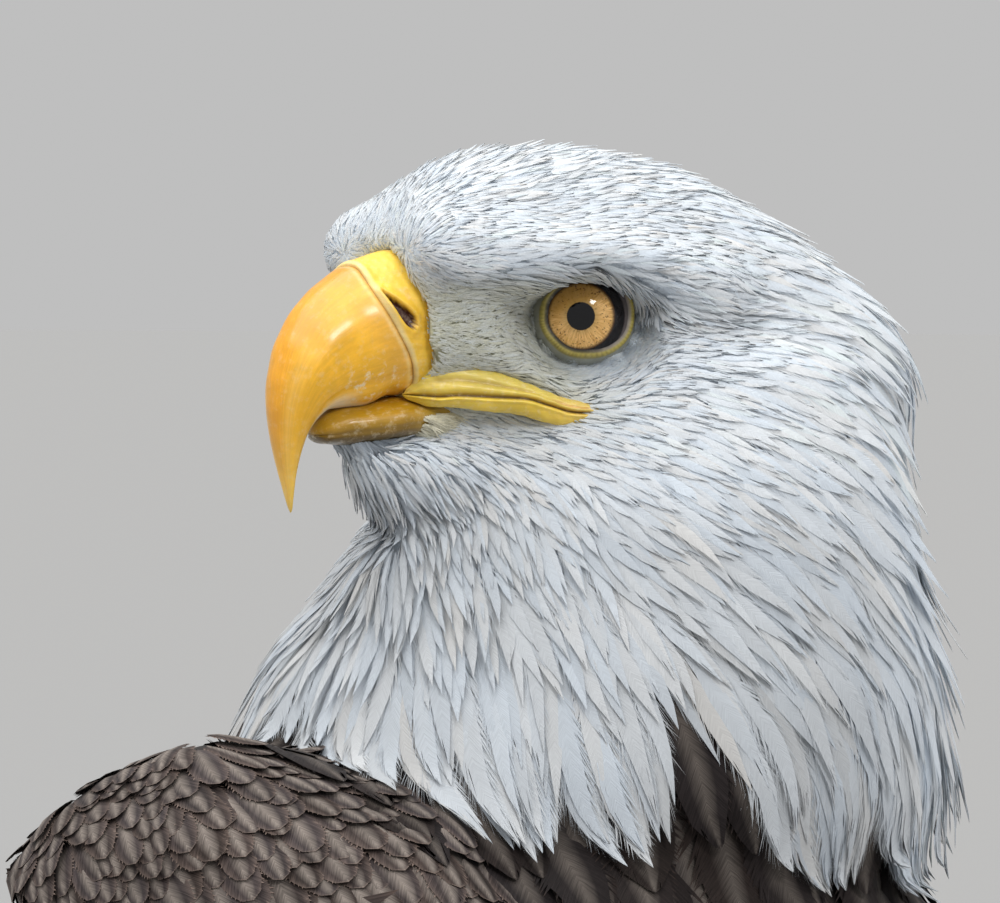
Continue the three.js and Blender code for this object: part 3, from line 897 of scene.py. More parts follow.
def scaly_material():
    k = Nodes("foot_skin")
    cells = {"Vector": k.place(), "Scale": 420.0}
    creased = k.range(k.node("TexVoronoi", cells, feature="DISTANCE_TO_EDGE"), 0.0, 0.12)
    tone = k.node("TexVoronoi", cells, "Color", feature="F1")
    cloud = k.noise(k.place(), 90.0)
    colour = k.tint(k.times(k.range(creased, 0.0, 1.0, 0.55, 1.0), k.range(cloud, 0.3, 0.7, 0.85, 1.1)))
    k.set(Base_Color=k.blend(0.08, colour, tone, "OVERLAY"), Normal=k.bump(creased, 0.6, 0.0006))
    return k.set(Roughness=0.42, Coat_Weight=0.15)


def eye_material():
    """Pupil, iris and dark rim by the angle from the eye's axis, with threads, specks and a wet surface."""
    k = Nodes("eye")
    ring, turn_x, turn_y = k.vane()
    round_it = k.vector(k.times(turn_x, 7.0), k.times(turn_y, 7.0), k.times(ring, 1.4))
    threads = k.noise(round_it, 2.4, 4.0, 0.65)
    specks = k.plus(k.noise(k.place(), 1900.0, 2.0, 0.5), k.range(ring, 0.5, 0.9, 0.0, 0.05))
    # high darkens the iris's upper part: a painted shadow of the brow.
    high = k.range(k.plus(turn_y, k.times(turn_x, -0.5)), 0.0, 0.9, 0.0, 0.8)
    edge_of_pupil = k.plus(ring, k.times(k.plus(threads, -0.5), 0.03))
    colour = k.blend(k.range(threads, 0.3, 0.7), rgb(0.58, 0.30, 0.08), rgb(0.92, 0.58, 0.22))
    colour = k.blend(high, colour, rgb(0.42, 0.22, 0.04))
    colour = k.blend(k.range(specks, 0.635, 0.7, 0.0, 0.8), colour, rgb(0.09, 0.03, 0.01))
    colour = k.blend(k.range(ring, 0.36, 0.62, 0.5, 0.0), colour, rgb(0.3, 0.2, 0.06))
    colour = k.blend(k.range(ring, 0.86, 0.985, 0.0, 0.95), colour, rgb(0.045, 0.018, 0.008))
    colour = k.blend(k.range(edge_of_pupil, 0.375, 0.405), rgb(0.002, 0.002, 0.003), colour)
    colour = k.blend(k.range(ring, 0.975, 1.015), colour, rgb(0.008, 0.006, 0.007))
    colour = k.blend(k.range(ring, 1.32, 1.42), colour, rgb(0.12, 0.10, 0.10))
    k.set(Base_Color=colour, Roughness=0.35, Specular_IOR_Level=0.0, Normal=k.bump(threads, 0.15, 0.0002))
    return k.set(Coat_Weight=1.0, Coat_Roughness=0.015, Coat_IOR=1.45)


WHITE = feather_material("white_feather", 0.09, 0.75, 0.2, 0.25, through=0.25)
FACE = feather_material("face_feather", 0.16, 0.8, 0.15, 0.25, through=0.25)
SHOULDER = brown_material("shoulder_feather", (0.25, 0.185, 0.155), 0.32, 0.1)
BROWN = brown_material("brown_feather", (0.10, 0.068, 0.055), 0.74, 0.1)
BACK_BROWN = brown_material("back_feather", (0.055, 0.038, 0.032), 0.74, 0.08)
HORN = horn_material("bill_horn", 0.3, 1.6, 0.3)
CERE = horn_material("cere", 0.38, 0.7, 0.2)
CLAW = horn_material("claw_horn", 0.25, 1.2, 0.5)
SCALY = scaly_material()
EYE = eye_material()
SKIN = skin_material()

# ---- Markings -----------------------------------------------------------------------------------

WHITE_TINT = np.array([0.80, 0.87, 0.945])
WARM_WHITE = np.array([0.91, 0.90, 0.88])
LORE_TINT = np.array([0.72, 0.72, 0.60])
LORE_SKIN = np.array([0.50, 0.50, 0.36])
BROWN_TINT = np.array([0.042, 0.030, 0.026])
DARK_BROWN = np.array([0.018, 0.013, 0.011])
SLATE_BROWN = np.array([0.050, 0.042, 0.045])
SHAFT_PALE = np.array([0.20, 0.17, 0.15])

# Turn round the neck from the breast, in degrees, and the height where the white feathers' tips end.
HOOD_EDGE = [
    (0, 516), (30, 521), (46, 520), (66, 513), (78, 507), (90, 503), (100, 501), (110, 499), (122, 501),
    (129, 524), (139, 514), (150, 494), (168, 493), (180, 493),
]
NECK_AXIS = np.array([0.0, -54.0]) + SHIFT[:2]
# Ahead and up: the edge of the brow, and the crease that runs on from it behind the eye.
BROW_EDGE = [
    (-40, -2), (-26, -0.5), (-17, 0.6), (-12, 5.0), (-7, 7.8), (2, 7.2), (12, 6.6), (27, 5.0), (38, 6),
]


TIP_FALL = 0.74  # how far below its root a white feather's tip ends, as a share of its length


def over_hood_edge(points):
    """How far above the hood's edge the tip of a feather rooted there ends."""
    x, y = (points[:, :2] - NECK_AXIS).T
    turn = np.degrees(np.arctan2(np.abs(x), -y))
    edge = np.interp(turn, *np.transpose(HOOD_EDGE))
    return points[:, 2] - (edge + TIP_FALL * hood_length(points))


def over_brow(h):
    return h[:, 2] - np.interp(h[:, 0], *np.transpose(BROW_EDGE))


def hood_length(points):
    """The length of a feather rooted on the head or neck: least by the bill and the eyes, most at the
    hood's hem."""
    h = to_head(points)
    from_bill = np.linalg.norm(h - [31, 0, 0], axis=1)
    from_eye = np.linalg.norm(h * mirror(h, 1) - EYE_IN_HEAD, axis=1)
    by_bill = np.maximum(1.6 + 0.0050 * from_bill**2, 50 * ease(-h[:, 2], 38, 92))
    by_eye = 1.6 + 0.45 * np.maximum(from_eye - 13.0, 0)
    by_brow = 9.0 * ease(over_brow(h), -0.3, 1.2) * ease(h[:, 0], 36, 24) * ease(h[:, 0], -44, -30)
    return np.clip(np.maximum(np.minimum(by_bill, by_eye), by_brow), 1.6, 56)


def is_white(points):
    """Where a feather rooted there is white: the head and neck, and the tail with its coverts."""
    b = points - SHIFT
    tail = (b[:, 1] - 0.25 * (b[:, 2] - 240) > 114) & (np.abs(b[:, 0]) < 62)
    return over_hood_edge(points) > 0, tail


def lore_share(h):
    """How much of the fine grey stubble there is: before the eye, under it and down to the gape."""
    f, l, u = h.T
    return ease(f, -6, 10) * (1 - ease(u, 5, 11)) * ease(u, -25, -17) * ease(np.abs(l), 5, 9)


def white_tints(points, rng):
    h = to_head(points)
    n = len(points)
    tint = mix(WHITE_TINT, WARM_WHITE, np.clip(rng.normal(0.25, 0.25, n), 0, 1)[:, None])
    tint = tint * rng.normal(1.0, 0.035, n)[:, None]
    # The throat and the lower front of the neck are painted up to a quarter darker: painted shade under the
    # head.
    tint = tint * (1 - 0.24 * ease(-h[:, 2], 26, 46) * ease(h[:, 0], -75, -20))[:, None]
    return np.clip(painted(tint, (LORE_TINT, lore_share(h) * rng.uniform(0.45, 1.0, n))), 0, 0.95)


def brown_tints(points, rng, spread=0.16):
    n = len(points)
    tint = mix(BROWN_TINT, SLATE_BROWN, rng.uniform(0, 1, n)[:, None] * 0.7)
    return tint * rng.normal(1, spread, n).clip(0.5, 1.6)[:, None]


# ---- Skin object --------------------------------------------------------------------------------

# The middle of each body part, its own length and the way that the middle of its map faces.
UNROLLED = {
    HEAD: (on_head([0, 0, 0]), FORWARD, UPWARD),
    NECK: (np.array([*NECK_AXIS, 540.0]), UPWARD, FORWARD),
    TRUNK: (SHIFT + [0, 10, 380], [0, -0.6, 0.8], [0, -1, 0]),
    TAIL: (SHIFT + [0, 250, 158], [0, 0.82, -0.57], UPWARD),
    WING: (SHIFT + [0, 100, 300], [0, 0.77, -0.61], UPWARD),
    THIGH: (SHIFT + [0, 10, 200], [0, 0, 1], [0, -1, 0]),
}


def skin_tint():
    hood = ease(over_hood_edge(skin_co), -14, -4)
    tail = relaxed(is_white(skin_co)[1].astype(float), skin_edges, 4) * (kind_of == TAIL)
    lore = lore_share(to_head(skin_co)) * (kind_of == HEAD)
    pale = painted(WHITE_TINT * 0.97, (LORE_SKIN, lore))
    return mix(DARK_BROWN * 0.8, pale, np.maximum(hood, tail)[:, None])


def skin_unwrap():
    """Each body part unrolled about its own length, beside the others, per corner of each triangle."""
    uv = np.zeros((len(skin_tris), 3, 2))
    for k, place in UNROLLED.items():
        chosen = FACE_KIND == k
        flat = unwrapped(CORNERS[chosen].reshape(-1, 3), *place).reshape(-1, 3, 2)
        turn = flat[:, :, 0]
        split = (np.ptp(turn, axis=1) > 0.5)[:, None] & (turn < 0.5)
        flat[:, :, 0] = np.minimum(np.where(split, turn + 0.97, turn), 1.0)
        uv[chosen] = (flat * 0.98 + [k % 3, k // 3]) / [3, 2]
    return uv.reshape(-1, 2)


skin_object = mesh_object("skin", skin_co, skin_tris, skin_tint(), uv=skin_unwrap())
dressed(skin_object, SKIN, "white_feather", *FLESH)

# ---- Forms drawn along a line -------------------------------------------------------------------


def ends_round(t, ends):
    """The size of a form at a share along it, which rounds off over the shares in ends at either end."""
    start = np.maximum(0, 1 - t / ends[0])
    end = np.maximum(0, 1 - (1 - t) / ends[1])
    return np.sqrt(np.maximum(0, 1 - np.maximum(start, end) ** 2))


def bulge(c, square):
    return np.sign(c) * np.abs(c) ** (2 / square)


def along_line(rows, lean, flat):
    """A form's rows at shares along it, with the way its side looks, from lean's first to its second, and
    the way of its top."""
    rows = np.asarray(rows, float)
    before, after = np.maximum(flat - 1e-3, 0), np.minimum(flat + 1e-3, 1)
    ahead = unit(open_curve(rows[:, :3], after) - open_curve(rows[:, :3], before))
    side = mix(np.array(lean[0], float), np.array(lean[1], float), np.clip(flat, 0, 1)[:, None])
    side = unit(side - dot(side, ahead) * ahead)
    return open_curve(rows, flat), side, np.cross(side, ahead)


def loft(rows, t, turn, lean, ends):
    """Points on a form whose rows hold a place, a half-width and its reach above and below its line."""
    flat = t.ravel()
    row, side, up = along_line(rows, (lean, lean), flat)
    size = ends_round(flat, ends)
    across, height = np.cos(turn.ravel()) * size, np.sin(turn.ravel()) * size
    reach = np.maximum(np.where(height > 0, row[:, 4], row[:, 5]), 0.3) * height
    p = row[:, :3] + side * (np.maximum(row[:, 3], 0.3) * across)[:, None] + up * reach[:, None]
    return p.reshape(*t.shape, 3)


def blade(rows, t, turn, square=2.3, ends=(0.03, 0.03)):
    """Points ahead, left and up on a bill, whose rows hold its upper and lower edges and its half-width."""
    flat = t.ravel()
    row = open_curve(rows, flat)
    size = ends_round(flat, ends)
    across = bulge(np.cos(turn.ravel()), square) * size
    height = bulge(np.sin(turn.ravel()), square) * size
    across = across * (1 - 0.16 * ease(height, 0.25, 1.0))
    top, bottom = row[:, :2], row[:, 2:4]
    ahead, up = ((top + bottom) / 2 + (top - bottom) / 2 * height[:, None]).T
    p = np.stack([ahead, across * np.maximum(row[:, 4], 0.25), up], -1)
    return p.reshape(*t.shape, 3)


def swollen(p, relief):
    return p + grid_normals(p) * relief[:, :, None]


def horn_vane(along, across, worn):
    """What a horn's material reads: the way along and across it, and how worn it is."""
    return np.stack(np.broadcast_arrays(along, across, worn), -1)


# ---- Bill ---------------------------------------------------------------------------------------

# Ahead and height of the upper edge, the same of the lower edge, and the half-width.
UPPER_BILL = [
    (22, 11, 24, -15, 9), (32, 14, 31, -17, 12.8), (42.5, 11.8, 37.5, -17, 12.4),
    (49, 9.2, 43.5, -19.2, 11), (56.6, 3.4, 48.5, -19.4, 9.8), (61.8, -4, 52.4, -20, 8.6),
    (64.3, -11.5, 55.3, -22, 7.2), (64.9, -17.9, 57.4, -25, 5.8), (64.4, -24.3, 58.7, -28.8, 4.4),
    (63.2, -30.6, 59.6, -33.2, 3), (61.6, -36.6, 60, -38, 1.7), (60.4, -41.4, 60, -41.6, 0.5),
]
LOWER_BILL = [
    (20, -17, 22, -25, 9.0), (34, -17, 34, -26, 10.8), (44, -18.6, 42, -26.8, 9.2),
    (51, -20, 49, -27.2, 6.8), (55.4, -23.4, 54.4, -26.6, 3.4),
]
# Left, back and up of the mouth's line, the half-thickness, and how far the lips reach above and below it.
GAPE = [
    (6.5, -35.5, -16.6, 0.8, 2.0, 1.2), (11.2, -31.3, -17.0, 1.9, 7.0, 2.0),
    (13.8, -27.5, -16.8, 2.6, 7.4, 2.3), (16.4, -21, -17.1, 2.8, 5.9, 2.9),
    (19.0, -14.4, -17.5, 2.9, 3.6, 3.2), (21.3, -9.5, -19.0, 2.8, 2.9, 3.2),
    (23.2, -5.6, -20.2, 2.6, 2.6, 3.0), (25.2, -1.3, -20.6, 2.4, 2.1, 2.5),
    (27.0, 2.4, -21.0, 1.8, 1.2, 1.4),
]
# Height and ahead of the cere's front border.
BORDER = [
    (13.0, 44.9), (11.2, 44.9), (4.9, 44.6), (-1.3, 42.3), (-6.6, 38.3), (-13.4, 34.6), (-17, 33.9),
]
BORDER_LINE = np.polyfit(*np.transpose(BORDER), 3)
SLOT_LENGTH = 9.6


def border_ahead(u):
    """How far ahead the cere's front border lies at a height."""
    return np.polyval(BORDER_LINE, np.clip(u, -17, 13))


def border_shares(turn):
    """Where the cere's front border crosses each line along the bill."""
    t = np.linspace(0.03, 0.6, 300)
    p = blade(UPPER_BILL, *np.meshgrid(t, turn, indexing="ij"))
    shares = t[np.argmax(p[:, :, 0] > border_ahead(p[:, :, 2]), axis=0)]
    for _ in range(6):
        shares = (np.roll(shares, 1) + shares * 2 + np.roll(shares, -1)) / 4
    return shares


def nostril(f, l, u):
    """The relief of a slot that slants down and back, pointed above and blunt below, with a rolled edge,
    and where the slot is."""
    ahead, above = f - 40.3, u - 1.6
    a = (ahead * -0.66 + above * -0.75) / SLOT_LENGTH + 0.5
    b = ahead * 0.75 + above * -0.66
    half = 1.8 * np.clip(a, 0.02, 1) ** 0.75 * np.sqrt(np.clip(1 - np.clip(a, 0, 1) ** 7, 0.02, 1))
    away = np.maximum(np.abs(b) - half, np.maximum(-a, a - 1) * SLOT_LENGTH)
    on_side = ease(l, 6, 8)
    hole = on_side * (1 - ease(away, -0.35, 0.2))
    return on_side * (0.25 * bell(away, 0.6, 0.5) - 0.2 * bell(away, 2.0, 0.7)) - 1.9 * hole, hole


def make_cere(turn, edge):
    """From under the forehead's feathers to a soft rim on the horn."""
    steps = np.concatenate([np.linspace(0, 0.86, 80), np.linspace(0.88, 1.0, 18)])[:, None]
    t = steps * edge
    p = blade(UPPER_BILL, t, turn + 0 * t)
    f, l, u = p[:, :, 0], np.abs(p[:, :, 1]), p[:, :, 2]
    rim = np.clip((1 - steps) / 0.07, 0, 1)
    swell = 0.45 * np.sqrt(1 - (1 - rim) ** 2) + 0.25 * bell(steps, 0.93, 0.05)
    relief, hole = nostril(f, l, u)
    wrinkle = np.sin(f * 3.1 + u * 0.8) * np.sin(u * 1.7 + f * 0.4) * (1 - hole)
    normals = grid_normals(p)
    p = p + normals * (swell + relief + 0.05 * wrinkle)[:, :, None]
    p = np.concatenate([p, (p[-1] - normals[-1] * 1.1)[None]])
    hole, u, steps = (np.concatenate([v, v[-1:]]) for v in (hole, u, steps))
    tint = painted(
        (0.95, 0.56, 0.045),
        ((0.97, 0.64, 0.07), ease(u, -2, 12)),
        ((0.88, 0.55, 0.06), ease(-u, 4, 14)),
        ((0.95, 0.84, 0.5), 0.5 * ease(steps, 0.91, 0.97)),
        # The nostril's slot is painted nearly black: painted shade inside the opening.
        ((0.06, 0.007, 0.002), ease(hole, 0.2, 0.6)),
    )
    grid_piece("cere", on_head(p), CERE, "cere_skin", tint, horn_vane(p[:, :, 0], p[:, :, 2], 0.25))


def make_upper_bill(turn, edge):
    """The horn, from just under the cere's rim to the hook's tip."""
    steps = np.concatenate([np.linspace(0, 0.12, 26), np.linspace(0.13, 1, 190)])[:, None]
    start = edge - 0.012
    t = np.minimum(start + steps * (1 - start), 1.0)
    p = blade(UPPER_BILL, t, turn + 0 * t)
    f, u = p[:, :, 0], p[:, :, 2]
    from_border = f - border_ahead(u)
    height = np.sin(turn) + 0 * f
    low = ease(-height, 0.42, 0.95)
    culmen = ease(height, 0.55, 1.0)
    fold = bell(height, -0.62, 0.1) * (1 - ease(f, 50, 60))
    ripples = np.sin(from_border * 0.9 + 0.6 * np.sin(u * 0.25)) * 0.045
    p = swollen(p, ripples - 0.3 * bell(from_border, 0, 0.9) - 0.35 * fold)
    inner_rim = ease(-height, 0.62, 0.9) * ease(f, 45, 52) + ease(-height, 0.86, 0.98) * ease(f, 40, 46)
    tint = painted(
        (0.88, 0.46, 0.045),
        ((0.90, 0.47, 0.015), ease(from_border, 0, 12)),
        # A paler band along the side just below the culmen: a painted highlight.
        ((0.90, 0.50, 0.07), 0.8 * ease(height, 0.15, 0.6) * (1 - culmen)),
        ((0.82, 0.35, 0.010), culmen * 0.8),
        ((0.78, 0.42, 0.02), low * 0.5),
        ((0.88, 0.60, 0.12), ease(-u, 20, 41) * 0.7),
        ((0.90, 0.82, 0.62), np.clip(inner_rim, 0, 1) * 0.9),
        ((0.30, 0.12, 0.02), 0.75 * bell(from_border, 0, 0.42)),
        ((0.92, 0.66, 0.28), 0.6 * bell(from_border, 1.1, 0.55)),
    )
    worn = np.clip(0.9 * bell(f, 46, 6) * bell(u, -13.5, 3.6) + 0.15 + 0.4 * low, 0, 1)
    grid_piece("bill_upper", on_head(p), HORN, "bill_horn", tint, horn_vane(from_border, turn * 9, worn))


def make_lower_bill():
    t, turn = grid(bunched(90), 96, math.pi / 2)
    p = blade(LOWER_BILL, t, turn, 2.4, (0.05, 0.12))
    f, u = p[:, :, 0], p[:, :, 2]
    down = -np.sin(turn)
    p = swollen(p, 0.06 * np.sin(f * 1.1 + u * 0.7) - 0.3 * bell(down, 0.25, 0.12))
    # The lower bill's yellow is painted far darker than the upper bill's, and darker still towards its
    # underside: painted shade beneath the upper bill.
    tint = painted(
        (0.46, 0.25, 0.008),
        ((0.18, 0.10, 0.005), ease(down, -0.3, 0.6)),
        ((0.16, 0.10, 0.02), ease(down, 0.4, 0.9) * 0.85),
        ((0.60, 0.42, 0.09), (1 - ease(f, 27, 37)) * 0.7),
    )
    worn = 0.3 + 0.3 * ease(down, 0.3, 0.9)
    grid_piece("bill_lower", on_head(p), HORN, "bill_horn", tint, horn_vane(f, turn * 8, worn))


def make_gape(word, side):
    """The fleshy corner of the mouth, with the mouth's line and creases sunk in it."""
    t, turn = grid(bunched(110), 96)
    q = loft(GAPE, t, turn, (1, 0, 0), (0.1, 0.12))
    back, up = q[:, :, 1], q[:, :, 2]
    outside, height = np.cos(turn), np.sin(turn)
    mouth = bell(height, 0, 0.07 + 0.05 * t) * ease(outside, 0.2, 0.6) * (1 - ease(t, 0.88, 0.94))
    on_side = ease(outside, 0.1, 0.5)
    crease = bell(height, 0.47, 0.08) * on_side * ease(t, 0.1, 0.18) * (1 - ease(t, 0.5, 0.62))
    inner = bell(height, 0.42, 0.10) * on_side * ease(t, 0.6, 0.7) * (1 - ease(t, 0.86, 0.93))
    ridge = bell(np.abs(height), 0.24, 0.12) * on_side
    rumple = np.sin(back * 2.3 + up) * np.sin(back * 0.9 + 1.7 * up)
    relief = 0.2 + 0.35 * ridge - 1.1 * mouth - 0.45 * crease - 0.35 * inner + 0.09 * rumple
    p = swollen(np.stack([-back, q[:, :, 0], up], -1), relief) * [1, side, 1]
    tint = painted(
        (0.86, 0.60, 0.06),
        ((0.80, 0.62, 0.12), ease(height, -0.3, 0.6)),
        ((0.88, 0.58, 0.14), ease(t, 0.5, 0.95) * 0.6),
        ((0.10, 0.03, 0.008), mouth * 0.92),
        ((0.42, 0.26, 0.05), crease * 0.6),
        ((0.62, 0.24, 0.10), inner * 0.5),
    )
    vane = horn_vane(p[:, :, 0], p[:, :, 2] * 2, 0.35)
    grid_piece(f"gape_{word}", on_head(p), CERE, "cere_skin", tint, vane)


TURN = np.linspace(0, 2 * math.pi, 176, endpoint=False) + math.pi / 2
EDGE = border_shares(TURN)
make_cere(TURN, EDGE)
make_upper_bill(TURN, EDGE)
make_lower_bill()
for word, side in SIDES:
    make_gape(word, side)

# ---- Eyes and lids ------------------------------------------------------------------------------

IRIS_AXIS = math.radians(53)  # from straight ahead
IRIS_ANGLE = math.asin(7.25 / EYE_RADIUS)
LID_COUNT = 220
# How far each ring of the lid lies past the opening, its height over the eyeball and how beaded it is.
LID_RINGS = [
    (-0.6, -0.1, 0), (-0.3, 0.08, 0), (0.0, 0.3, 0.3), (0.25, 0.5, 1), (0.6, 0.64, 1), (1.0, 0.66, 0.9),
    (1.4, 0.56, 0.7), (1.8, 0.4, 0.4), (2.3, 0.25, 0), (3.2, 0.15, 0), (5.2, 0.12, 0), (7.4, 0.12, 0),
]


def on_ball(angle, turn, axis, across):
    """Ways out from a ball's middle, at an angle from an axis and a turn round it, as cosine and sine."""
    angle, (cos, sin) = angle[..., None], (v[..., None] for v in turn)
    return np.cos(angle) * axis + np.sin(angle) * (cos * across + sin * UPWARD)


def make_eye(word, side):
    front, rear = np.linspace(0, 1.3 * IRIS_ANGLE, 60), np.linspace(1.35 * IRIS_ANGLE, math.pi, 26)
    angle, turn = grid(np.concatenate([front, rear]), 72)
    axis = np.array([math.cos(IRIS_AXIS), math.sin(IRIS_AXIS), 0.0])
    out = on_ball(angle, (np.cos(turn), np.sin(turn)), axis, np.array([-axis[1], axis[0], 0.0]))
    p = (EYE_IN_HEAD + out * EYE_RADIUS) * [1, side, 1]
    vane = np.stack([angle / IRIS_ANGLE, np.cos(turn), np.sin(turn)], -1)
    grid_piece(f"eye_{word}", on_head(p), EYE, "eye", vane=vane)


def make_lid(word, side):
    """The bare lid, ring by ring out from the opening, with beads along its edge."""
    opening = closed_curve(OPENING, LID_COUNT)
    radius = np.linalg.norm(opening, axis=1)
    cos, sin = (opening / radius[:, None]).T
    away, height, beaded = np.array(LID_RINGS).T[:, :, None]
    wide = np.where(away > 0, lid_width(sin), 1.0)
    angle = np.arcsin(np.clip(radius / EYE_RADIUS, 0, 0.98)) + away * wide / EYE_RADIUS
    out = on_ball(angle, (cos, sin), EYE_LOOKS, EYE_BACK)
    k = np.arange(LID_COUNT)
    beads = np.abs(np.sin(k * math.pi / 3.1)) * beaded
    p = (EYE_IN_HEAD + out * (EYE_RADIUS + height + 0.16 * beads)[..., None]) * [1, side, 1]
    away = away + 0 * beads
    rear = ease(np.cos(2 * math.pi * k / LID_COUNT), 0.0, -0.7)
    inner = painted((0.03, 0.025, 0.02), ((0.42, 0.36, 0.32), rear))
    tint = painted(
        (0.012, 0.010, 0.010),
        (inner, ease(away, -0.5, -0.2)),
        ((0.46, 0.38, 0.09), ease(away, -0.1, 0.2)),
        (LORE_TINT * 0.8, ease(away, 1.5, 2.4)),
    )
    tint = tint * (0.72 + 0.28 * beads)[..., None]
    grid_piece(f"lid_{word}", on_head(p), CERE, "cere_skin", tint, horn_vane(away, k * 0.3, 0.1))


for word, side in SIDES:
    make_eye(word, side)
    make_lid(word, side)

# ---- Head and neck feathers ---------------------------------------------------------------------


def grows_coat(points):
    """False on the bill, cere and eyes, where no feather grows."""
    h = to_head(points)
    f, l, u = h.T
    bill = (f > np.where(u > 4, 42, 34.5)) & (np.abs(l) < 15) & (u > -26) & (u < 15.5)
    past, wide = past_lid(h)
    return ~bill & (past > 1.9 * wide)


def hood_unwrap(points):
    return unwrapped(points, on_head([-10, 0, -20]), FORWARD + UPWARD, UPWARD - FORWARD)


def make_hood():
    rng = np.random.default_rng(4)
    length = hood_length(FACE_MIDDLE)
    gap = 0.24 + 0.105 * np.minimum(length, 20) + 0.075 * np.maximum(length - 20, 0)
    inside = is_white(FACE_MIDDLE)[0] & grows_coat(FACE_MIDDLE)
    roots, _ = scattered(inside, gap, np.random.default_rng(3))
    roots = roots[grows_coat(roots)]
    n = len(roots)
    length = hood_length(roots) * rng.normal(1.0, 0.12, n).clip(0.7, 1.35)
    tint = white_tints(roots, rng)
    h = to_head(roots)
    f, _, u = h.T
    past, wide = past_lid(h)
    # How much higher each tip stands than the coat, by place.
    stand = ease(-f, 30, 60) * rng.uniform(0, 1, n) ** 2 * np.minimum(length * 0.2, 7.0)
    stand += ease(u, 20, 32) * rng.uniform(0, 1, n) ** 3 * 2.0
    stand += 1.7 * bell(over_brow(h), 3, 2.6) * ease(f, 34, 22) * ease(f, -44, -30)
    stand += ease(f, 16, 34) * ease(-u, 26, 34) * ease(-u, 72, 56) * rng.uniform(0, 2.5, n)
    stand += 3.0 * ease(length, 30, 42) + 0.9 * (1 - ease(past / wide, 2.3, 5))
    bands = [
        ("face_bristles", 0, 4.2, BRISTLE, 2, 0.13, FACE, 0.3, None),
        ("head_feathers", 4.2, 10, SMALL, 3, 0.14, WHITE, 0.14, (5.0, 0.2)),
        ("crown_feathers", 10, 19, MIDDLE, 4, 0.14, WHITE, 0.12, (8.0, 0.25)),
        ("nape_feathers", 19, 33, LONG, 5, 0.145, WHITE, 0.10, (12.0, 0.25)),
        ("hackles", 33, 99, HACKLE, 8, 0.15, WHITE, 0.08, (19.0, 0.25)),
    ]
    for name, least, most, shape, steps, ratio, material, turn, lock in bands:
        m = (length >= least) & (length < most)
        widths = length[m] * ratio * rng.normal(1, 0.1, m.sum())
        given = (roots[m], length[m], widths, shape, steps, tint[m], hood_unwrap(roots[m]), material)
        look = dict(turn=turn, low=0.6, stand=stand[m], lock=lock, fray=0.16, round_off=0.2)
        coat_of(name, *given, "white_feather", rng, **look)


def edging(name, rows, t, turn, heading, lengths, ratio, shape, count, seed, tint):
    """Small feathers on both sides of the bill's border, rooted at shares t along it and turns round it."""
    rng = np.random.default_rng(seed)
    t, turn = rng.uniform(*t, count), rng.uniform(*turn, count)
    p = blade(rows, t, turn)
    along = blade(rows, t + 0.01, turn) - p
    out = unit(np.cross(blade(rows, t, turn + 0.02) - p, along))
    out = out * np.sign(dot(out, p * [0, 1, 0] + [0, 0, -2.0]))
    side = rng.choice([-1.0, 1.0], count)[:, None] * [0, 1, 0] + [1, 0, 1]
    p, out = p * side, out * side
    way = unit(np.array(heading) * side + rng.normal(0, 0.16, (count, 3)))
    long = rng.uniform(*lengths, count)
    s = np.linspace(0, 1, 4)[None, :, None]
    points = on_head(p[:, None] + way[:, None] * long[:, None, None] * s + out[:, None] * (0.1 + 0.6 * s))
    normals = np.repeat((out @ HEAD_AXES)[:, None], 4, 1)
    colour = np.array(tint) * rng.normal(1, 0.06, (count, 1))
    unwrap = hood_unwrap(points[:, 0])
    o = feathers(name, shape, points, normals, long * ratio, colour, long, unwrap, rng=rng, fray=0.2)
    dressed(o, FACE, "white_feather")


def make_edgings():
    quarter = math.pi / 2
    look = ((-0.9, 0.1, -0.3), (2, 5), 0.12, BRISTLE, 800, 5, (0.80, 0.77, 0.62))
    edging("jaw_fluff", LOWER_BILL, (0.0, 0.24), (-quarter, 0.1), *look)
    look = ((-0.8, 0, -0.6), (3, 7), 0.16, SMALL, 1100, 6, WHITE_TINT * 0.92)
    edging("chin_fluff", LOWER_BILL, (0.15, 0.66), (-quarter, -0.95), *look)
    look = ((-0.9, 0.1, 0.1), (1.2, 2.6), 0.12, BRISTLE, 900, 7, WHITE_TINT * 0.92)
    edging("cere_bristles", UPPER_BILL, (0.0, 0.085), (-0.5, quarter), *look)


make_hood()
make_edgings()

# ---- Body feathers ------------------------------------------------------------------------------

WRIST = np.array([112.0, -104.0, 472.0])
WING_TIP = np.array([22.0, 347.0, 114.0])
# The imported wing's and tail's lines: a place, a half-thickness or half-width, the reach above and below.
WING_PLATE = [
    (110, -126, 450, 22, 46, 44), (112, -94, 436, 30, 84, 62), (106, -34, 394, 30, 88, 78),
    (93, 32, 338, 27, 82, 78), (71, 122, 276, 21, 70, 58), (50, 204, 217, 13, 44, 38),
    (33, 280, 162, 8, 27, 28), (22, 347, 114, 4.5, 18, 21),
]
WING_LEAN = ((1, -0.1, 0.05), (0.25, 0.5, 0.85))
TAIL_PLATE = [
    (0, 128, 242, 42, 20, 24), (0, 190, 200, 44, 14, 18), (0, 250, 158, 49, 9, 9),
    (0, 318, 112, 54, 6.5, 6), (0, 380, 68, 48, 4, 4),
]
TAIL_LEAN = ((1, 0, 0), (1, 0, 0))


def wing_share(points):
    """The way along a wing, 0 at the wrist and 1 at the tip."""
    b = points - SHIFT
    run = WING_TIP - WRIST
    return ((b * mirror(b, 0) - WRIST) @ run) / (run @ run)


def on_wing(t, h):
    """The middle of the left wing at t along and h across, with the way that its outer face looks."""
    row, side, up = along_line(WING_PLATE, WING_LEAN, t)
    reach = np.where(h > 0, row[:, 4], row[:, 5]) * h
    return row[:, :3] + up * reach[:, None] + SHIFT, side


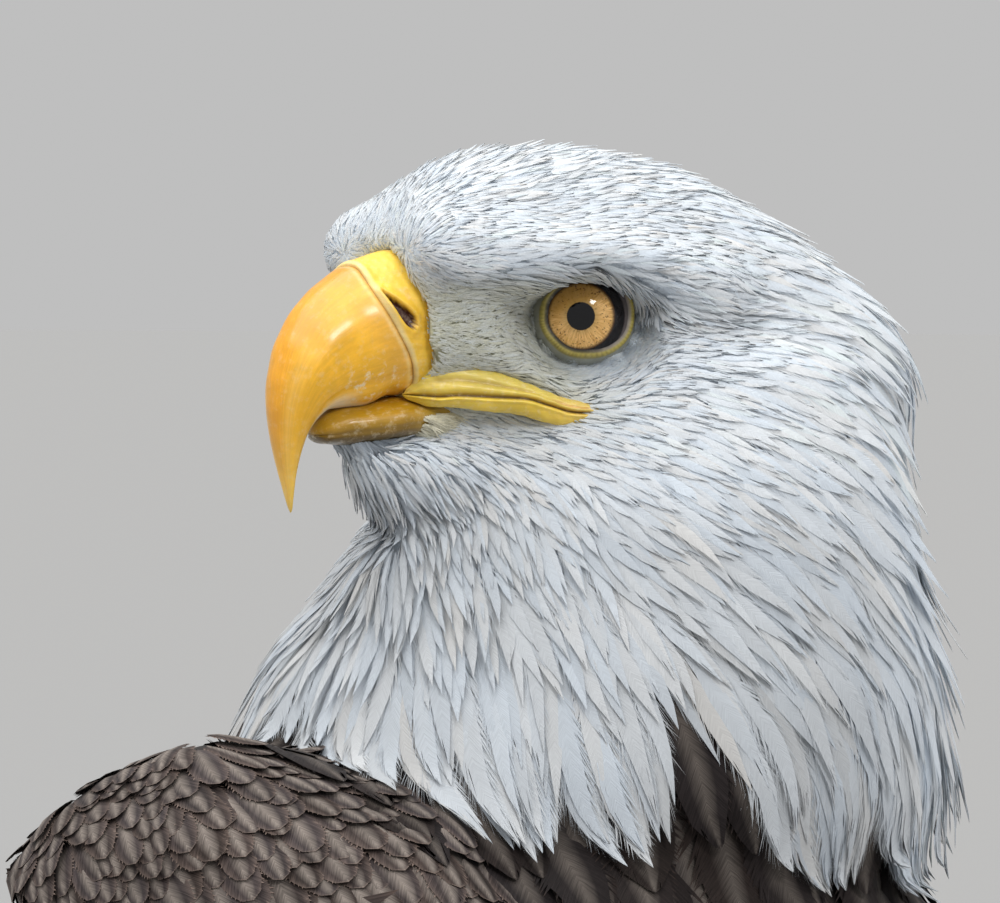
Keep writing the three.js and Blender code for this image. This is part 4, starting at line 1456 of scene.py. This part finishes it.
def on_tail(face):
    """The same of the tail, above for a face of 1 and below for -1."""

    def place(t, h):
        row, side, up = along_line(TAIL_PLATE, TAIL_LEAN, t)
        return row[:, :3] + side * (row[:, 3] * h)[:, None] + SHIFT, up * -face

    return place


CAST_FROM, CAST_REACH = 70.0, 110.0


def lanes(surface, place, roots, tips, rise, steps):
    """Shafts from roots to tips, each a pair of shares along and across a plate, laid on its outer face.
    rise is the height over that face at the root and the tip."""
    s = np.linspace(0, 1, steps + 1)
    t, h = (mix(a[:, None], b[:, None], s) for a, b in zip(roots, tips))
    middle, out = place(t.ravel(), h.ravel())
    p, n, _, _ = surface.cast(middle + out * CAST_FROM, -out, CAST_REACH)
    p, n, out = (v.reshape(*t.shape, 3) for v in (p, n, out))
    smooth = p.copy()
    smooth[:, 1:-1] = (p[:, :-2] + 2 * p[:, 1:-1] + p[:, 2:]) / 4
    n = unit(n + out)
    return smooth + n * mix(rise[0][:, None], rise[1][:, None], s)[:, :, None], n


def lengths_of(points):
    return np.linalg.norm(np.diff(points, axis=1), axis=2).sum(1)


def make_wing_feathers():
    rng = np.random.default_rng(11)
    wing = Surface(*triangles_of(NODES["wing_left"].data))

    def group(name, shape, count, steps, roots, tips, rise, half, roll, dark, crowd=1.0, wave=0.0):
        """Like feathers side by side on both wings. roots and tips hold shares along the wing and across
        it, and rise the heights at the root and the tip, each for the first feather and the last."""
        k = np.linspace(0, 1, count)
        roots, tips, rise = ([mix(*pair, k) for pair in pairs] for pairs in (roots, tips, rise))
        tips[0] = mix(tips[0][0], tips[0][-1], k**crowd) + wave * np.cos(k * 9)
        points, normals = lanes(wing, on_wing, roots, tips, rise, steps)
        for word, side in SIDES:
            flip = np.array([side, 1, 1])
            p, n = (points - SHIFT) * flip + SHIFT, normals * flip
            p = p + rng.normal(0, 0.25, (count, 1, 1)) * n
            tint = brown_tints(p, rng, 0.1) * dark
            given = (half * rng.normal(1, 0.04, count) * side, tint, lengths_of(p))
            unwrap = unwrapped(p[:, 0], *UNROLLED[WING])
            look = dict(shaft_tint=SHAFT_PALE * 0.7, roll=roll, droop=0.02)
            o = feathers(f"{name}_{word}", shape, p, n, *given, unwrap, rng=rng, **look)
            dressed(o, BROWN, "brown_feather")

    place = (((0.34, 0.34), (-0.92, 0.1)), ((0.935, 0.99), (-0.8, 0.5)), ((-3.2, -2.2), (-2.4, -0.8)))
    group("primaries", PRIMARY, 10, 22, *place, 15.0, -0.05, 0.62, crowd=0.6)
    place = (((0.2, 0.25), (-0.88, 0.35)), ((0.57, 0.72), (-0.9, 0.42)), ((-2.2, -2.2), (-1.2, 0.0)))
    group("secondaries", FLIGHT, 13, 18, *place, 22.0, -0.06, 0.8)
    place = (((0.22, 0.22), (0.4, 0.85)), ((0.68, 0.76), (0.45, 0.8)), ((-1.0, -1.0), (0.6, 1.3)))
    group("tertials", FLIGHT, 5, 18, *place, 23.0, -0.05, 0.85)
    place = (((0.16, 0.16), (-0.97, -0.62)), ((0.40, 0.5), (-0.97, -0.62)), ((-0.8, -0.8), (0.7, 1.0)))
    group("primary_coverts", COVERT, 7, 10, *place, 12.0, -0.08, 0.8)
    place = (((0.19, 0.19), (-0.82, 0.72)), ((0.40, 0.47), (-0.82, 0.72)), ((-4.5, -4.5), (1.5, 1.5)))
    group("greater_coverts", CONTOUR, 16, 10, *place, 15.5, -0.07, 1.0)
    place = (((0.155, 0.155), (-0.85, 0.76)), ((0.31, 0.31), (-0.85, 0.76)), ((-5.0, -5.0), (2.0, 2.0)))
    group("median_coverts", CONTOUR, 18, 8, *place, 12.5, -0.06, 1.0, wave=0.015)


def make_tail_feathers():
    rng = np.random.default_rng(12)
    tail = Surface(*triangles_of(NODES["tail"].data))
    k = np.linspace(-1, 1, 12)
    side = np.sign(k)
    for word, face in (("above", 1.0), ("below", -1.0)):
        order = (1 - np.abs(k)) * face
        rise = (-1.2 + 0.8 * order, -0.2 + 1.5 * order)
        roots, tips = (0 * k + 0.12, k * 0.62), (1.0 - 0.035 * k**2, k * 0.80)
        p, n = lanes(tail, on_tail(face), roots, tips, rise, 22)
        p[:, -3:] += n[:, -3:] * -0.4
        tint = white_tints(p[:, 0], rng) * 0.96
        unwrap = unwrapped(p[:, 0], *UNROLLED[TAIL])
        look = dict(roll=0.05 * side[:, None], droop=0.02)
        widths = 16.0 * side * face
        o = feathers(f"tail_{word}", RECTRIX, p, n, widths, tint, lengths_of(p), unwrap, rng=rng, **look)
        dressed(o, WHITE, "white_feather")


def body_length(points, kinds):
    """The length of a body feather by its place."""
    wing = np.interp(wing_share(points), [-0.05, 0.03, 0.12, 0.25, 0.4], [14, 18, 26, 34, 46])
    leg = np.interp(points[:, 2], [70, 110, 170, 260], [13, 20, 38, 44])
    trunk = mix(48.0, 34.0, ease(points[:, 2], 500, 560))
    return np.choose(kinds, [trunk, trunk, trunk, np.full(len(points), 62.0), wing, leg])


BODY_LENGTH = body_length(FACE_MIDDLE, FACE_KIND)


def plumage(name, where, ratio, seed, shape, steps, gap, material, shade=1.0, shaft=None, **options):
    """Body feathers rooted on the faces that where marks, white or brown by their material."""
    rng = np.random.default_rng(seed)
    roots, face = scattered(where, BODY_LENGTH * gap, rng)
    n = len(roots)
    length = BODY_LENGTH[face] * rng.normal(1, 0.08, n)
    widths = length * ratio * rng.normal(1, 0.08, n)
    tints, slot = (white_tints, "white_feather") if material is WHITE else (brown_tints, "brown_feather")
    tint = tints(roots, rng) * shade
    unwrap = unwrapped(roots, roots.mean(0), [0, 0.2, 1], [0, 1, 0])
    options["shaft_tint"] = None if shaft is None else SHAFT_PALE * shaft
    coat_of(name, roots, length, widths, shape, steps, tint, unwrap, material, slot, rng, **options)


def make_body_feathers():
    back = dict(shape=MANTLE, steps=7, gap=0.21, material=BACK_BROWN, shaft=0.5, turn=0.08, fray=0.08)
    # The mantle, breast and scapulars are scaled down to 0.45: partly their own darker brown, partly
    # painted shade beneath the white hood.
    back["shade"] = 0.45
    shoulder = dict(shape=CONTOUR, steps=5, gap=0.215, material=SHOULDER, shaft=1.0, turn=0.1, fray=0.05)
    leg = dict(shape=PLUME, steps=5, gap=0.2, material=BROWN, shaft=0.7, turn=0.12, fray=0.14)
    under_tail = dict(shape=MANTLE, steps=8, gap=0.22, material=WHITE, turn=0.07, fray=0.12)
    x, y, _ = (FACE_MIDDLE - SHIFT).T
    share = wing_share(FACE_MIDDLE)
    hood, tail = is_white(FACE_MIDDLE)
    trunk = (FACE_KIND <= TRUNK) & ~hood & ~tail
    wing = FACE_KIND == WING
    upper = wing & (share >= 0.2) & (share < 0.62) & (np.abs(x) < 78 - 62 * (share - 0.2))
    thigh = (FACE_KIND == THIGH) & (FACE_MIDDLE[:, 2] > 76)
    plumage("mantle_feathers", trunk & (y > -60), 0.23, 21, **back)
    plumage("breast_feathers", trunk & (y <= -60), 0.21, 22, **back)
    for (word, side), seed in zip(SIDES, (23, 24)):
        here = side * x > 0
        plumage(f"lesser_coverts_{word}", wing & here & (share < 0.21), 0.3, seed, **shoulder)
        plumage(f"scapulars_{word}", upper & here, 0.26, seed + 2, **back)
        plumage(f"leg_feathers_{word}", thigh & here, 0.17, seed + 4, **leg)
    plumage("tail_coverts", (FACE_KIND <= TAIL) & tail & (y < 215), 0.2, 29, **under_tail)


make_wing_feathers()
make_tail_feathers()
make_body_feathers()

# ---- Feet ---------------------------------------------------------------------------------------

FOOT_AT = (62.0, 0.0, 0.0)
TOE_RADIUS, TOE_HEIGHT = 7.4, 6.1
CLAW_RISE, CLAW_FALL, CLAW_CLEARANCE = 0.6, 1.15, 1.4
CLAW_ARC = CLAW_RISE + CLAW_FALL
TOES = [("inner", -34, 54, 35), ("middle", 2, 74, 31), ("outer", 38, 57, 27), ("hind", 172, 36, 40)]
SHANK = [
    (62, 28, 106, 8.4, 9.4, 9.4), (62, 21, 70, 8.4, 9.0, 9.0), (62, 11, 36, 8.8, 9.4, 9.4),
    (62, 4, 16, 11.8, 12, 12), (62, 1, -6, 9, 9, 9),
]
YELLOW = np.array([0.72, 0.47, 0.05])


def claw_base(claw):
    return CLAW_CLEARANCE + claw / CLAW_ARC * (math.cos(CLAW_RISE) - math.cos(CLAW_FALL))


def toe_rows(length, claw):
    r, h = TOE_RADIUS, TOE_HEIGHT
    return [
        (0, 0, h + 3, r, r, r),
        (0, -length * 0.3, h + 0.6, r - 0.3, r - 0.4, r),
        (0, -length * 0.52, h, r - 1.4, r - 1.2, r - 0.6),
        (0, -length * 0.78, h, r - 1, r - 0.6, r - 0.1),
        (0, -length, claw_base(claw), r - 2.4, r - 2, r - 1.6),
    ]


def claw_rows(length, claw):
    rows = []
    for t in (0, 0.25, 0.5, 0.75, 1):
        pitch = CLAW_ARC * t - CLAW_RISE
        thick = 4.8 * (1 - t) ** 0.8 + 0.35
        reach = length - 2.5 + claw / CLAW_ARC * (math.sin(pitch) + math.sin(CLAW_RISE))
        height = claw_base(claw) - claw / CLAW_ARC * (math.cos(CLAW_RISE) - math.cos(pitch))
        rows.append((0, -reach, height, thick * 0.8, thick, thick))
    return rows


def scaly_form(rows, count, around, scutes, lean, ends):
    """A toe or shank and its tint: broad scutes along its upper face and small pads below."""
    t, turn = grid(np.linspace(0, 1, count), around)
    above = ease(np.sin(turn), 0.1, 0.6)
    ramp = (t * scutes) % 1.0
    plates = np.clip(ramp / 0.8, 0, 1) * (1 - ease(ramp, 0.84, 1.0)) - 0.5
    pads = np.sin(t * scutes * 2 * math.pi * 1.3) * np.sin(turn * 7)
    p = swollen(loft(rows, t, turn, lean, ends), 0.75 * plates * above + 0.22 * pads * (1 - above))
    return p, painted(YELLOW, (YELLOW * [0.45, 0.4, 0.35], ease(ramp, 0.86, 0.97) * above * 0.7))


def claw_form(rows):
    t, turn = grid(bunched(60), 40)
    under = ease(-np.sin(turn), 0.5, 0.95)
    p = swollen(loft(rows, t, turn, (-1, 0, 0), (0.08, 0.03)), -0.35 * under * (1 - t))
    return p, painted((0.035, 0.032, 0.034), ((0.009, 0.009, 0.011), ease(t, 0.05, 0.5)))


def make_foot(word, side):
    def on_foot(p, heading):
        a = math.radians(heading)
        turned = p @ [[math.cos(a), math.sin(a), 0], [-math.sin(a), math.cos(a), 0], [0, 0, 1]]
        return (turned + FOOT_AT) * [side, 1, 1] + SHIFT

    def scaly_piece(name, p, tint):
        p[..., 2] = np.maximum(p[..., 2], 0.0)
        grid_piece(f"{name}_{word}", p, SCALY, "foot_skin", tint)

    p, tint = scaly_form(SHANK, 130, 64, 16, (1, 0, 0), (0.06, 0.12))
    scaly_piece("shank", p * [side, 1, 1] + SHIFT, tint)
    for toe, heading, length, claw in TOES:
        scutes = max(6, round(length / 4.4))
        p, tint = scaly_form(toe_rows(length, claw), 96, 48, scutes, (-1, 0, 0), (0.08, 0.08))
        scaly_piece(f"toe_{toe}", on_foot(p, heading), tint)
    for toe, heading, length, claw in TOES:
        p, tint = claw_form(claw_rows(length, claw))
        vane = horn_vane(p[..., 1], p[..., 0] * 3, 0.0)
        grid_piece(f"claw_{toe}_{word}", on_foot(p, heading), CLAW, "claw_horn", tint, vane)


for word, side in SIDES:
    make_foot(word, side)

# ---- Floor, light and camera --------------------------------------------------------------------

WORLD = 0.52
KEY, CATCH, FILL = 1.0, 0.32, 0.05  # radiance of a white surface that faces each light
AZIMUTH, ELEVATION = math.radians(118), math.radians(1)
LEVEL = math.cos(ELEVATION)
BACK = np.array([math.sin(AZIMUTH) * LEVEL, -math.cos(AZIMUTH) * LEVEL, math.sin(ELEVATION)])
RIGHT = np.array([math.cos(AZIMUTH), math.sin(AZIMUTH), 0.0])
ABOVE = np.cross(BACK, RIGHT)
FLOOR = 60.0  # metres from the middle to each edge
DISTANCE = 3000.0
LENS, SENSOR, FARTHEST = 507.6, 36, 200
PUPIL_TURN = math.radians(58)
PUPIL_OUT = 9.8
PUPIL = LEFT_EYE + (FORWARD * math.cos(PUPIL_TURN) + LEFTWARD * math.sin(PUPIL_TURN)) * PUPIL_OUT
AIM_LEFT, AIM_DOWN = 18.1, 28.8  # of the middle of the picture from the pupil


def linked(name, data):
    o = bpy.data.objects.new(name, data)
    bpy.context.scene.collection.objects.link(o)
    return o


def turned(o, towards):
    o.rotation_mode = "QUATERNION"
    o.rotation_quaternion = Vector(towards).to_track_quat("Z", "Y")


def sun(name, towards, radiance, angle, colour):
    """A soft sun, and what it lends to the floor."""
    data = bpy.data.lights.new(name, "SUN")
    data.energy = radiance * math.pi
    data.angle = math.radians(angle)
    data.color = colour
    o = linked(name, data)
    turned(o, unit(towards))
    return unit(towards)[2] * radiance


def make_light():
    """The world's light and three suns. Returns the light that falls on the floor."""
    world = bpy.data.worlds.new("studio")
    bpy.context.scene.world = world
    world.use_nodes = True
    world.node_tree.nodes["Background"].inputs[0].default_value = rgb(WORLD, WORLD, WORLD)
    lit = WORLD
    lit += sun("key", -0.3 * RIGHT + 1.0 * UPWARD + 0.12 * BACK, KEY, 75, (1.0, 0.99, 0.97))
    lit += sun("catch", 0.36 * RIGHT + 0.52 * UPWARD + 0.78 * BACK, CATCH, 13, (1.0, 1.0, 1.0))
    lit += sun("fill", 0.8 * RIGHT + 0.5 * UPWARD + 0.6 * BACK, FILL, 60, (0.95, 0.97, 1.0))
    return lit


def make_floor(lit):
    """A floor that looks as bright as the world behind it."""
    data = bpy.data.meshes.new("floor")
    corners = [(-FLOOR, -FLOOR, 0), (FLOOR, -FLOOR, 0), (FLOOR, FLOOR, 0), (-FLOOR, FLOOR, 0)]
    data.from_pydata(corners, [], [(0, 1, 2, 3)])
    linked("floor", data)
    shade = WORLD / lit
    pale = Nodes("floor").set(Base_Color=rgb(shade, shade, shade), Roughness=1.0, Specular_IOR_Level=0.0)
    data.materials.append(pale)


def make_camera():
    camera = linked("camera", bpy.data.cameras.new("camera"))
    camera.data.lens = LENS
    camera.data.sensor_width = SENSOR
    camera.data.clip_end = FARTHEST
    aim = PUPIL - RIGHT * AIM_LEFT - ABOVE * AIM_DOWN
    camera.location = (aim + BACK * DISTANCE) * MM
    turned(camera, BACK)
    bpy.context.scene.camera = camera
    bpy.context.scene.view_settings.view_transform = "Standard"
    bpy.context.scene.view_settings.look = "None"


make_floor(make_light())
make_camera()
